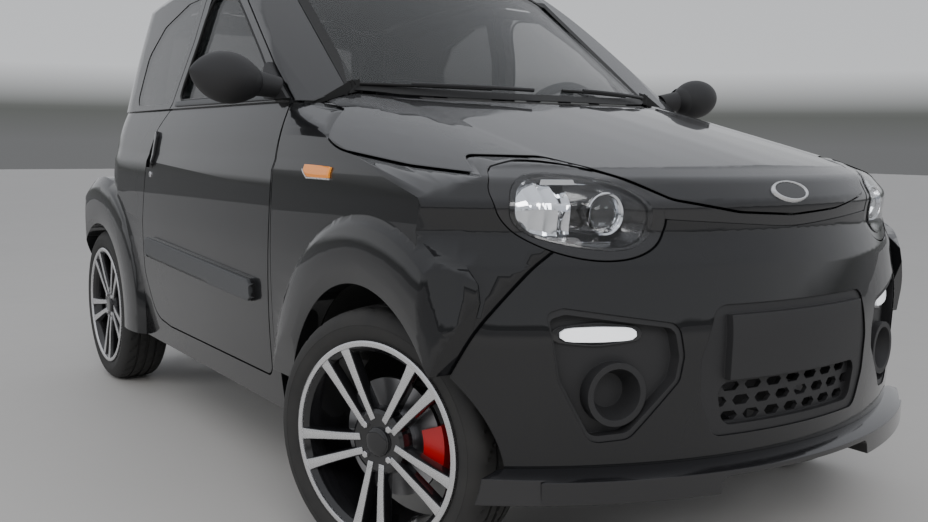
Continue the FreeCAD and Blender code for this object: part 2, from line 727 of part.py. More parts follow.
def make_fog_pod():
    """Right-hand pod: dished plate, light bar and round bowl."""
    pod = inset_body(POD_OUTLINE, 26, 18, SEAT)
    rim = inset_body(POD_OUTLINE, 3, 36, SEAT)
    inner = [(x * 0.94 - 27, z * 0.9 + 48, radius * 0.8) for x, z, radius in POD_OUTLINE]
    rim = rim.cut(front_prism(inner, -1700, -1100))
    bar = front_prism([(-520, 568, 12), (-372, 568, 12), (-372, 542, 12), (-520, 542, 12)],
                      -1700, -1100)
    light = lower_hull(10).common(bar).cut(lower_hull(44))
    axis = Vec(0.25, 0.97, 0)
    centre = Vec(-423, -1366, 440)
    bowl = Part.makeCylinder(62, 60, centre, axis)
    hollow = Part.makeCone(50, 34, 44, centre - axis * 0.1, axis)
    bowl = bowl.cut(hollow)
    plate = pod.cut(Part.makeCylinder(61, 80, centre, axis))
    return rim.fuse([plate, light, bowl])


def make_headlamp():
    lamp = lower_hull(2).common(lamp_prism(0)).cut(lower_hull(62))
    return lamp.cut(hood_region(-GAP))


def make_windscreen():
    region = core_prism(-SEAT).common(block(-900, 900, -900, 200, BELT - 20, 1700))
    glass = OUTER_TOP.common(region).cut(greenhouse(size("glass_thickness")))
    return glass.cut([OUTER_LOW, header_region(-SEAT)])


def header_region(shift):
    """Everything behind the screen's top edge, which bows forwards."""
    foot = -60 + shift
    radius = 1500
    reach = 700
    depth = radius - math.sqrt(radius ** 2 - reach ** 2)
    arc = Part.Arc(Vec(-reach, foot + depth, 900), Vec(0, foot, 900),
                   Vec(reach, foot + depth, 900)).toShape()
    sides = [
        Part.LineSegment(Vec(reach, foot + depth, 900), Vec(reach, 1700, 900)).toShape(),
        Part.LineSegment(Vec(reach, 1700, 900), Vec(-reach, 1700, 900)).toShape(),
        Part.LineSegment(Vec(-reach, 1700, 900), Vec(-reach, foot + depth, 900)).toShape(),
    ]
    return Part.Face(Part.Wire([arc] + sides)).extrude(Vec(0, 0, 800))


def make_roof():
    z_pin = size("tailgate_axis_z")
    region = core_prism(-SEAT).common(header_region(0))
    skin = top_skin(region, size("roof_skin")).cut(tailgate_prism(GAP))
    y_pin = tail_surface_y(z_pin)
    knuckles = []
    for x in KNUCKLES:
        boss = cross_cylinder(PIN_TAILGATE + 6, x, x + KNUCKLE_WIDE, y_pin, z_pin)
        web = side_prism([(y_pin - 10, z_pin, 0), (y_pin - 36, z_pin + 24, 0),
                          (y_pin - 20, z_pin + 40, 0), (y_pin + 6, z_pin + 4, 0)],
                         x, x + KNUCKLE_WIDE)
        knuckles.extend([boss, web])
    bore = cross_cylinder(PIN_TAILGATE + size("pin_clearance"), -300, 300, y_pin, z_pin)
    barrels = [cross_cylinder(PIN_TAILGATE + 4 + GAP, x - 1, x + BARREL_WIDE + 1, y_pin, z_pin)
               for x in PIN_LEFT]
    return skin.fuse(knuckles).cut([bore] + barrels)


# Tailgate hinges: pins on the tailgate, knuckles on the roof, left ends of each.
PIN_TAILGATE = 5
PIN_LEFT = (-236, 206)
BARREL_WIDE = 30
KNUCKLE_WIDE = 20
KNUCKLES = (-236 - 1 - KNUCKLE_WIDE, -236 + BARREL_WIDE + 1,
            206 - 1 - KNUCKLE_WIDE, 206 + BARREL_WIDE + 1)


# Tailgate seen from behind.
TAILGATE_OUTLINE = [
    (-466, 690, 60), (-470, 985, 20), (-512, 1030, 30), (-474, 1362, 40), (-280, 1425, 60),
    (280, 1425, 60), (474, 1362, 40), (512, 1030, 30), (470, 985, 20), (466, 690, 60),
]
TAILGATE_WINDOW = [
    (-452, 1052, 50), (-418, 1330, 50), (-250, 1378, 60), (250, 1378, 60), (418, 1330, 50),
    (452, 1052, 50),
]


def tail_surface_y(z):
    """Middle of the rear face at a height above the side windows."""
    slope = 70 / 230
    return SWEEP_Y - SWEEP_X + 574 - (z - (ROOF - 170)) * slope


def tailgate_prism(shift):
    face = outline_face([(Vec(x, 1060, z), radius) for x, z, radius in TAILGATE_OUTLINE])
    if shift:
        face = Part.Face(face.OuterWire.makeOffset2D(shift, 0, False, False, True))
    return face.extrude(Vec(0, 600, 0))


def make_tailgate():
    skin = size("tailgate_skin")
    region = tailgate_prism(0)
    low = low_skin(region.common(block(-FAR, FAR, 1060, 1600, 0, BELT)), skin)
    whole = low.fuse(top_skin(region, skin)).cut(front_prism(TAILGATE_WINDOW, 1060, 1600))
    z_pin = size("tailgate_axis_z")
    y_pin = tail_surface_y(z_pin)
    whole = whole.cut([
        cross_cylinder(PIN_TAILGATE + 6 + GAP, x - 1, x + KNUCKLE_WIDE + 1, y_pin, z_pin)
        for x in KNUCKLES])
    pieces = []
    for x in PIN_LEFT:
        pieces.append(cross_cylinder(PIN_TAILGATE + 4, x, x + BARREL_WIDE, y_pin, z_pin))
        pieces.append(block(x, x + BARREL_WIDE, y_pin - 9, y_pin + 8, z_pin - 34, z_pin))
        reach = KNUCKLE_WIDE + 1
        pieces.append(cross_cylinder(PIN_TAILGATE, x - reach, x + BARREL_WIDE + reach,
                                     y_pin, z_pin))
    return whole.fuse(pieces)


def make_tailgate_glass():
    face = outline_face([(Vec(x, 1060, z), radius) for x, z, radius in TAILGATE_WINDOW])
    face = Part.Face(face.OuterWire.makeOffset2D(-SEAT, 0, False, False, True))
    region = face.extrude(Vec(0, 600, 0))
    return greenhouse(4).common(region).cut(greenhouse(4 + size("glass_thickness")))


def tail_lamp_prism(shift):
    outline = [(-484 + shift, 752 - shift, 20), (-484 + shift, 962 + shift, 40),
               (-640 - shift, 962 + shift, 50), (-660 - shift, 752 - shift, 20)]
    return front_prism(outline, 1060, 1600)


def make_tail_lamp():
    return lower_hull(-3).common(tail_lamp_prism(0)).cut(lower_hull(46))


def make_side():
    """Right side frame: sill, hinge post, pillars, rail and rear quarter."""
    z_low = size("sill_bottom")
    wall = low_skin(block(-FAR, -300, -436, 1600, z_low, BELT), size("wall_lower"))
    wall = wall.cut(cross_cylinder(size("rear_arch"), -FAR, -size("rear_liner_x"),
                                   REAR_AXLE, AXLE_Z))
    post = block(-FAR, -520, -528, -436, z_low, BELT)
    post = lower_hull(size("fender_skin") + SEAT).common(post)
    post = post.cut(lower_hull(size("wall_lower")))
    sill = low_skin(block(-FAR, -300, -459, -436, z_low, 350), size("wall_lower"))
    flare = flare_ring(REAR_AXLE, size("rear_arch"), 560)
    flare = flare.cut([block(-FAR, 0, -900, 600, 0, 1100), lower_hull(size("wall_lower"))])
    top = top_skin(block(-FAR, -300, -900, 1600, BELT, 1700), size("wall_upper"))
    top = top.cut([core_prism(0), front_hull(-SEAT)])
    frame = wall.fuse([post, sill, flare, top])
    frame = frame.cut([door_prism(GAP), window_prism(QUARTER_WINDOW, 0),
                       tailgate_prism(GAP), tail_lamp_prism(SEAT),
                       rear_bumper_region(SEAT), block(-560, 0, 1330, 1600, 0, BELT)])
    return frame.cut(door_sweep()).fuse(hinge_straps())


def door_sweep():
    """Room for the right door's front edge as it turns about its pin."""
    edge = door_prism(4).common(block(-FAR, -640, -470, -384, 290, BELT))
    edge = edge.common(lower_hull(-2))
    pin = Vec(-size("door_axis_x"), size("door_axis_y"), 0)
    room = []
    for angle in range(7, 63, 7):
        turned = edge.copy()
        turned.rotate(pin, Vec(0, 0, 1), angle)
        room.append(turned)
    return room


STRAP_LEVELS = (430, 790)
STRAP_EYE = 10
STRAP_THICK = 10


def hinge_straps():
    """L-shaped door hinge straps on the right post, with their pins."""
    pieces = []
    x_pin = -size("door_axis_x")
    y_pin = size("door_axis_y")
    for z in STRAP_LEVELS:
        eye = Part.makeCylinder(STRAP_EYE, STRAP_THICK, Vec(x_pin, y_pin, z))
        arm = block(x_pin, x_pin + 63, y_pin - STRAP_EYE, y_pin + STRAP_EYE, z, z + STRAP_THICK)
        leg = block(x_pin + 41, x_pin + 63, -470, y_pin + STRAP_EYE, z, z + STRAP_THICK)
        pin = Part.makeCylinder(size("hinge_pin"), 34, Vec(x_pin, y_pin, z))
        pieces.extend([eye, arm, leg, pin])
    return pieces


def rear_bumper_region(shift):
    return block(-900, 900, 1340 - shift, 1600, 0, 676 + shift)


def make_rear_bumper():
    region = rear_bumper_region(0)
    depth = size("bumper_skin") + 10
    region = region.cut(block(-FAR, FAR, 1000, 1600, SHELF - SEAT, SHELF + 200))
    skin = low_skin(region, depth).cut(REAR_ARCHES)
    flare = flare_ring(REAR_AXLE, size("rear_arch"), WIDE - 60).common(region)
    flare = flare.cut(block(-520, 0, 1300, 1700, 0, 1000))
    return skin.fuse([flare, other_side(flare)])


def make_door():
    """Right door, as thick as its wall, with its window cut and its rub strip."""
    prism = door_prism(0)
    low = low_skin(prism, size("wall_lower"))
    high = top_skin(prism, size("wall_upper"))
    strip_outline = [(-330, 500, 14), (-330, 560, 14), (575, 595, 14), (575, 531, 14)]
    strip = side_prism(strip_outline, -800, -600)
    strip = lower_hull(-9).common(strip).cut(lower_hull(12))
    door = low.fuse([high, strip])
    handle = [(538, 822, 16), (560, 944, 16), (620, 944, 16), (620, 822, 16)]
    dish = side_prism(handle, -800, -600).cut(lower_hull(16))
    cuts = [window_prism(DOOR_WINDOW, 0), dish]
    x_pin = -size("door_axis_x")
    y_pin = size("door_axis_y")
    for z in STRAP_LEVELS:
        slot = Part.makeCylinder(100, 22, Vec(x_pin, y_pin, z - 6))
        slot = slot.cut(block(x_pin - 200, x_pin - 12, y_pin - 200, y_pin + 200, 0, 1200))
        bore = Part.makeCylinder(size("hinge_pin") + size("pin_clearance"), 60,
                                 Vec(x_pin, y_pin, z - 6))
        cuts.extend([slot, bore])
    return door.cut(cuts)


def make_door_glass():
    region = window_prism(DOOR_WINDOW, -SEAT).common(
        block(-FAR, -400, -900, 900, BELT, 1600))
    return greenhouse(14).common(region).cut(greenhouse(14 + size("glass_thickness")))


def make_quarter_glass():
    region = window_prism(QUARTER_WINDOW, -SEAT).common(
        block(-FAR, -400, -900, 1500, BELT, 1600))
    return greenhouse(2).common(region).cut(greenhouse(2 + size("glass_thickness")))


# Mirror: centre of the shell, seen from the photograph's side.
MIRROR_CENTRE = Vec(-812, -382, 1064)
MIRROR_FOOT = Vec(-664, -362, 1046)


def make_mirror():
    """Right mirror: egg shell and neck on the door's sail."""
    crown = Part.Arc(Vec(-92, 0, 0), Vec(-30, 0, 57), Vec(62, 0, 44)).toShape()
    inner = Part.Arc(Vec(62, 0, 44), Vec(84, 0, 26), Vec(92, 0, 0)).toShape()
    spine = Part.LineSegment(Vec(92, 0, 0), Vec(-92, 0, 0)).toShape()
    shell = Part.Face(Part.Wire([crown, inner, spine]))
    shell = shell.revolve(Vec(0, 0, 0), Vec(1, 0, 0), 360)
    shell.rotate(Vec(0, 0, 0), Vec(0, 1, 0), 8)
    shell.translate(MIRROR_CENTRE)
    shell = shell.cut(block(-1000, -600, MIRROR_CENTRE.y + 36, -200, 900, 1200))
    reach = MIRROR_CENTRE - MIRROR_FOOT
    neck = Part.makeCone(26, 34, reach.Length * 0.62, MIRROR_FOOT, reach)
    outline = [(-424, BELT + 6, 0), (-322, BELT + 6, 12), (-256, BELT + 104, 12),
               (-286, BELT + 104, 0)]
    sail = side_prism(outline, -700, -560).common(door_prism(-2))
    sail = sail.common(greenhouse(-10)).cut(greenhouse(-SEAT))
    beside_door = greenhouse(-14).cut(door_prism(-2))
    return shell.fuse(neck).cut(beside_door).fuse(sail).cut(greenhouse(-SEAT))


def make_floor():
    """Floor with its tunnel, seat pedestals, step and load floor."""
    top = size("floor_top")
    low = top - size("floor_skin")
    y_front = size("bulkhead_y") + size("bulkhead_skin") + SEAT
    step_y = 812
    rear_end = 1424
    pan = block(-700, 700, y_front, step_y + 18, low, top)
    riser = block(-520, 520, step_y, step_y + 18, top, size("load_floor"))
    load = block(-520, 520, step_y, rear_end, size("load_floor") - 18, size("load_floor"))
    tunnel = side_prism([(y_front, top, 0), (y_front, top + 90, 20), (560, top + 90, 40),
                         (600, top, 0)], -62, 62)
    pan = pan.fuse([riser, load, tunnel])
    for side in (-1, 1):
        x = side * size("seat_x")
        seat_low = size("cushion_top") - size("cushion_thickness") - SEAT
        pan = pan.fuse(block(x - 170, x + 170, -10, 400, top, seat_low))
    return pan.common(lower_hull(size("wall_lower") + SEAT)).cut(REAR_ARCHES)


def make_bulkhead():
    y_front = size("bulkhead_y")
    y_rear = y_front + size("bulkhead_skin")
    low = size("floor_top") - size("floor_skin")
    wall = block(-700, 700, y_front, y_rear, low, BELT - 20)
    wall = wall.common(lower_hull(size("wall_lower") + SEAT))
    tray = block(-380, 380, -706, y_rear, 944, 966)
    scuttle = lower_hull(2).common(block(-380, 380, -706, -500, 950, 1100))
    scuttle = scuttle.common(behind_screen(-6)).cut(behind_screen(-SEAT))
    pieces = [tray, scuttle]
    axis_y = size("hood_axis_y")
    axis_z = size("hood_axis_z")
    for side in (-1, 1):
        plate = side_prism([(y_rear - 2, 900, 0), (y_rear - 2, 990, 0),
                            (axis_y - 9, axis_z + 8, 6), (axis_y + 9, axis_z + 8, 6),
                            (axis_y + 9, axis_z - 20, 6)], 489, 501)
        pin = cross_cylinder(size("hinge_pin") - 2, 458, 495, axis_y, axis_z)
        if side < 0:
            plate = other_side(plate)
            pin = other_side(pin)
        pieces.extend([plate, pin])
    return wall.fuse(pieces)


def make_front_frame():
    """Side rails, cross members, bumper beam and the lower arms."""
    y_rear = size("bulkhead_y") - SEAT
    pieces = []
    for side in (-1, 1):
        x_low = min(side * 330, side * 382)
        pieces.append(block(x_low, x_low + 52, -1284, y_rear, 232, 300))
        pieces.append(block(x_low, x_low + 52, -1284, -1240, 232, 700))
        horn = block(x_low, x_low + 52, -1500, -1262, 640, 700)
        pieces.append(lower_hull(size("bumper_skin") + SEAT).common(horn))
        arm = [(side * 360, FRONT_AXLE - 140, 0), (side * 360, FRONT_AXLE + 140, 0),
               (side * 450, FRONT_AXLE + 50, 40), (side * 600, FRONT_AXLE + 26, 20),
               (side * 624, FRONT_AXLE, 10), (side * 600, FRONT_AXLE - 26, 20),
               (side * 450, FRONT_AXLE - 50, 40)]
        pieces.append(plan_prism(arm, 196, 216))
        pieces.append(block(side * 360 - 22, side * 360 + 22, FRONT_AXLE - 140,
                            FRONT_AXLE + 140, 196, 240))
    pieces.append(block(-382, 382, -1284, -1240, 456, 560))
    pieces.append(block(-340, 340, FRONT_AXLE - 30, FRONT_AXLE + 30, 232, 300))
    pieces.append(block(-340, 340, -1284, -1240, 232, 280))
    base = pieces[0]
    return base.fuse(pieces[1:])


def make_arch_liners():
    skin = size("liner_skin")
    pieces = []
    spots = ((ARCH_Y, size("front_arch") + 2, size("liner_inner_x"), size("bumper_skin")),
             (REAR_AXLE, size("rear_arch") + 2, size("rear_liner_x"), size("wall_lower")))
    stub = cross_cylinder(66, -FAR, 0, REAR_AXLE, AXLE_Z)
    for y, radius, x_inner, clear in spots:
        outer = cross_cylinder(radius + skin, -WIDE + 6, -x_inner, y, AXLE_Z)
        inner = cross_cylinder(radius, -WIDE, -x_inner - skin, y, AXLE_Z)
        liner = outer.cut(inner)
        liner = liner.cut(block(-900, 0, y - 600, y + 600, 0, 318))
        liner = liner.common(lower_hull(clear + SEAT))
        if y > 0:
            liner = liner.cut([block(-900, 0, 1340 - 6, 1600, 0, 690), stub])
        pieces.append(liner)
        pieces.append(other_side(liner))
    return Part.makeCompound(pieces)


def wheel_frame(shape, side, y, steer):
    """Carry a shape made round the X axis, outer face to -X, to its corner."""
    placed = shape.copy()
    if side > 0:
        placed = placed.mirror(Vec(0, 0, 0), Vec(1, 0, 0))
    offset = Vec(side * (size("wheel_centre_x") - size("kingpin_x")), 0, 0)
    placed.translate(offset)
    placed.rotate(Vec(0, 0, 0), Vec(0, 0, 1), steer)
    placed.translate(Vec(side * size("kingpin_x"), y, AXLE_Z))
    return placed


def revolve_profile(points):
    """Closed profile of (x, radius) turned about the X axis."""
    corners = [Vec(x, radius, 0) for x, radius in points]
    wire = Part.makePolygon(corners + [corners[0]])
    return Part.Face(wire).revolve(Vec(0, 0, 0), Vec(1, 0, 0), 360)


def tyre_shape():
    half = size("tyre_width") / 2
    outer = size("tyre_radius")
    bead = size("rim_radius") + 1.5
    over_lip = size("rim_lip") + 1.5
    profile = [(-half + 12, bead), (-half + 10, over_lip), (-half, bead + 36),
               (-half + 4, outer - 24), (-half + 16, outer - 7), (-half + 40, outer - 1),
               (0, outer), (half - 40, outer - 1), (half - 16, outer - 7),
               (half - 4, outer - 24), (half, bead + 36), (half - 10, over_lip),
               (half - 12, bead)]
    return revolve_profile(profile)


def rim_shape():
    half = size("tyre_width") / 2
    seat = size("rim_radius")
    lip = size("rim_lip")
    barrel = revolve_profile([
        (-half - 2, lip - 6), (-half + 3, lip), (-half + 9, lip), (-half + 11, seat + 1),
        (half - 11, seat + 1), (half - 9, lip - 2), (half - 4, lip - 2), (half - 4, seat - 12),
        (-half + 30, seat - 12), (-half + 8, seat - 2), (-half - 2, seat + 6)])
    hub = revolve_profile([(-half + 10, 0), (-half + 10, 26), (-half + 16, 30),
                           (-half + 16, 66), (-half + 46, 70), (-half + 46, 0)])
    pieces = [hub]
    for spoke in range(5):
        turn = spoke * 72
        for lean in (-1, 1):
            foot = 17 * lean
            tip = 36 * lean
            bar = Part.makePolygon([
                Vec(-half + 16, 50, foot - 8), Vec(-half + 16, 50, foot + 8),
                Vec(-half + 4, seat + 1, tip + 11), Vec(-half + 4, seat + 1, tip - 11),
                Vec(-half + 16, 50, foot - 8)])
            face = Part.Face(bar)
            spoke_bar = face.extrude(Vec(24, 0, 0))
            spoke_bar.rotate(Vec(0, 0, 0), Vec(1, 0, 0), turn - 90)
            pieces.append(spoke_bar)
    spokes = pieces[0].fuse(pieces[1:])
    spokes = spokes.common(Part.makeCylinder(seat - 4, 200, Vec(-100, 0, 0), Vec(1, 0, 0)))
    return barrel.fuse(spokes)


STUB_RADIUS = 20


def knuckle_shape():
    """Right knuckle round the X axis: carrier, stub and caliper."""
    off = size("wheel_centre_x") - size("kingpin_x")
    carrier = Part.makeCylinder(44, 60, Vec(off - 24, 0, 0), Vec(1, 0, 0))
    stub = Part.makeCylinder(STUB_RADIUS, 62, Vec(off - 80, 0, 0), Vec(1, 0, 0))
    leg = Part.makeCylinder(16, 68.5, Vec(off, 0, -68.5))
    lug = block(off + 4, off + 30, -20, 20, 0, 92)
    caliper = Part.makeCylinder(152, 62, Vec(-30, 0, 0), Vec(1, 0, 0))
    caliper = caliper.cut(Part.makeCylinder(98, 64, Vec(-31, 0, 0), Vec(1, 0, 0)))
    wedge = Part.makePolygon([Vec(-31, 0, 0), Vec(-31, -300, 110), Vec(-31, -300, -150),
                              Vec(-31, 0, 0)])
    wedge = Part.Face(wedge).extrude(Vec(64, 0, 0))
    caliper = caliper.common(wedge)
    groove = Part.makeCylinder(131, 15, Vec(-15, 0, 0), Vec(1, 0, 0))
    caliper = caliper.cut(groove)
    bracket = block(16, 46, -118, 0, -20, 20)
    return carrier.fuse([stub, leg, lug, caliper, bracket])


def disc_shape():
    disc = Part.makeCylinder(128, 10, Vec(-12, 0, 0), Vec(1, 0, 0))
    half = size("tyre_width") / 2
    bell = Part.makeCylinder(62, half - 46 - 12, Vec(-half + 46, 0, 0), Vec(1, 0, 0))
    bore = Part.makeCylinder(STUB_RADIUS + SEAT, 90, Vec(-half, 0, 0), Vec(1, 0, 0))
    return disc.fuse(bell).cut(bore)


def make_rear_axle():
    beam = cross_cylinder(34, -520, 520, REAR_AXLE, AXLE_Z)
    pieces = []
    for side in (-1, 1):
        arm = side_prism([(REAR_AXLE + 30, AXLE_Z - 30, 20), (REAR_AXLE + 30, AXLE_Z + 30, 20),
                          (900, 262, 16), (830 + SEAT, 262, 0), (830 + SEAT, 216, 0),
                          (900, 200, 16)], 430, 480)
        drum = cross_cylinder(104, 568, 632, REAR_AXLE, AXLE_Z)
        x_hub = size("wheel_centre_x") + size("tyre_width") / 2 - 46
        stub = cross_cylinder(58, 500, x_hub - SEAT, REAR_AXLE, AXLE_Z)
        if side < 0:
            arm = other_side(arm)
            drum = other_side(drum)
            stub = other_side(stub)
        pieces.extend([arm, drum, stub])
    return beam.fuse(pieces)


STEERING_CENTRE = Vec(330, -236, 932)
HUB_DEPTH = 24


# Reach of the door's inner front corner round its pin, with its clearance.
DOOR_SWING = 118


def make_dashboard():
    y_back = size("bulkhead_y") + size("bulkhead_skin") + SEAT
    outline = [(y_back, 640, 0), (y_back, 940, 0), (-440, 968, 40), (-330, 956, 40),
               (-262, 890, 40), (-300, 760, 40), (-380, 640, 40)]
    dash = side_prism(outline, -600, 600)
    binnacle = side_prism([(-470, 940, 0), (-430, 1000, 20), (-330, 998, 20), (-280, 930, 0)],
                          190, 450)
    lean = math.radians(size("column_lean"))
    axis = Vec(0, math.cos(lean), math.sin(lean))
    column = Part.makeCylinder(30, 110 - HUB_DEPTH - SEAT, STEERING_CENTRE - axis * 110, axis)
    console = block(-70, 70, -400, -200, 352 + SEAT, 700)
    dash = dash.fuse([binnacle, column, console])
    bound = lower_hull(size("wall_lower") + 6).fuse(greenhouse(size("wall_upper") + 6))
    ends = [block(-FAR, -484, -600, -444, 896, 1100), block(484, FAR, -600, -444, 896, 1100)]
    x_pin = size("door_axis_x")
    y_pin = size("door_axis_y")
    for x in (-x_pin, x_pin):
        ends.append(Part.makeCylinder(DOOR_SWING, 800, Vec(x, y_pin, 400)))
    return dash.common(bound).cut(ends)


def make_steering_wheel():
    lean = math.radians(size("column_lean"))
    axis = Vec(0, math.cos(lean), math.sin(lean))
    rim = Part.makeTorus(size("steering_radius"), size("steering_grip"))
    hub = Part.makeCylinder(52, HUB_DEPTH + 10, Vec(0, 0, -HUB_DEPTH))
    pieces = [hub]
    for turn in (0, 180, 270):
        spoke = block(0, size("steering_radius"), -18, 18, -9, 9)
        spoke.rotate(Vec(0, 0, 0), Vec(0, 0, 1), turn)
        pieces.append(spoke)
    wheel = rim.fuse(pieces)
    wheel.Placement = FreeCAD.Placement(
        STEERING_CENTRE, FreeCAD.Rotation(Vec(0, 0, 1), axis))
    return wheel


def make_seat_cushions():
    pieces = []
    top = size("cushion_top")
    for side in (-1, 1):
        x = side * size("seat_x")
        half = size("seat_width") / 2
        cushion = side_prism([(-60, top - size("cushion_thickness"), 40), (-60, top + 6, 50),
                              (size("seat_depth") - 60, top - 24, 20),
                              (size("seat_depth") - 60, top - size("cushion_thickness"), 20)],
                             x - half, x + half)
        pieces.append(cushion)
    return Part.makeCompound(pieces)


def make_seat_backs():
    pieces = []
    for side in (-1, 1):
        x = side * size("seat_x")
        half = size("seat_width") / 2
        foot_y = size("seat_depth") - 60 + SEAT
        foot_z = size("cushion_top") - 90
        rise = size("backrest_rise")
        thick = size("backrest_thickness")
        back = front_prism([(-half, 0, 40), (half, 0, 40), (half - 30, rise, 60),
                            (-half + 30, rise, 60)], 0, thick)
        head = front_prism([(-120, rise + 14, 30), (120, rise + 14, 30),
                            (104, rise + 170, 50), (-104, rise + 170, 50)], 10, 92)
        posts = block(-60, -48, 44, 56, rise - 20, rise + 40)
        back = back.fuse([head, posts, other_side(posts)])
        back.rotate(Vec(0, 0, 0), Vec(1, 0, 0), -size("backrest_lean"))
        back.translate(Vec(x, foot_y, foot_z))
        pieces.append(back)
    return Part.makeCompound(pieces)


# The document's sub-parts

NODES = []


def feature(label, shape):
    part = doc.addObject("Part::Feature", label)
    part.Label = label
    part.Shape = shape
    part.Placement = part.Placement
    NODES.append(part)
    return part


def add_engine_block():
    """Engine and gearbox as one plain block on the front frame."""
    engine = doc.addObject("Part::Box", "engine_block")
    engine.Label = "engine_block"
    engine.setExpression("Length", "Sizes.engine_width")
    engine.setExpression("Width", "Sizes.engine_depth")
    engine.setExpression("Height", "Sizes.engine_rise")
    corner = Vec(-size("engine_width") / 2, -1180, 300 + SEAT)
    engine.Placement = FreeCAD.Placement(corner, FreeCAD.Rotation())
    NODES.append(engine)


add_engine_block()
feature("floor_pan", make_floor())
feature("bulkhead", make_bulkhead())
feature("front_frame", make_front_frame())
right_side = make_side()
feature("side_right", right_side)
feature("side_left", other_side(right_side))
feature("roof_panel", make_roof())
right_fender = make_fender()
feature("fender_right", right_fender)
feature("fender_left", other_side(right_fender))
feature("hood", make_hood())
feature("front_bumper", make_front_bumper())
feature("nose_band", make_nose_band())
feature("splitter", make_splitter())
feature("grille", make_grille())
right_pod = make_fog_pod()
feature("fog_pods", Part.makeCompound([right_pod, other_side(right_pod)]))
right_lamp = make_headlamp()
feature("headlamps", Part.makeCompound([right_lamp, other_side(right_lamp)]))
feature("windscreen", make_windscreen())
right_quarter = make_quarter_glass()
feature("quarter_glass", Part.makeCompound([right_quarter, other_side(right_quarter)]))
right_door = make_door()
feature("door_right", right_door)
feature("door_left", other_side(right_door))
right_glass = make_door_glass()
feature("door_glass_right", right_glass)
feature("door_glass_left", other_side(right_glass))
feature("mirror_right", make_mirror())
feature("mirror_left", other_side(make_mirror()))
feature("tailgate", make_tailgate())
feature("tailgate_glass", make_tailgate_glass())
feature("rear_bumper", make_rear_bumper())
right_tail = make_tail_lamp()
feature("tail_lamps", Part.makeCompound([right_tail, other_side(right_tail)]))
feature("arch_liners", make_arch_liners())
feature("rear_axle", make_rear_axle())
feature("dashboard", make_dashboard())
feature("steering_wheel", make_steering_wheel())
feature("seat_cushions", make_seat_cushions())
feature("seat_backs", make_seat_backs())

TYRE = tyre_shape()
RIM = rim_shape()
KNUCKLE = knuckle_shape()
DISC = disc_shape()
CORNERS = (("front_right", -1, FRONT_AXLE, size("steer_rest")),
           ("front_left", 1, FRONT_AXLE, size("steer_rest")),
           ("rear_right", -1, REAR_AXLE, 0.0), ("rear_left", 1, REAR_AXLE, 0.0))
for corner, side, y, steer in CORNERS:
    feature("rim_" + corner, wheel_frame(RIM, side, y, steer))
    feature("tyre_" + corner, wheel_frame(TYRE, side, y, steer))
    if y < 0:
        feature("knuckle_" + corner[6:], wheel_frame(KNUCKLE, side, y, steer))
        feature("disc_" + corner[6:], wheel_frame(DISC, side, y, steer))

doc.recompute()
for part in doc.Objects:
    if "Invalid" in part.State or "Error" in part.State:
        raise RuntimeError("failed object " + part.Label)
for part in NODES:
    shape = part.Shape
    if shape.isNull() or not shape.isValid() or not shape.Solids:
        raise RuntimeError("bad shape " + part.Label)
os.makedirs("parts", exist_ok=True)
for part in NODES:
    part.Shape.exportStep(os.path.join("parts", part.Label + ".step"))
    print(part.Label, len(part.Shape.Solids), round(part.Shape.Volume / 1e6, 3))
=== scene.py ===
"""Dresses the packed two-seat microcar: panels, lamps, wheels, glass and cabin."""

import sys

import json
import math

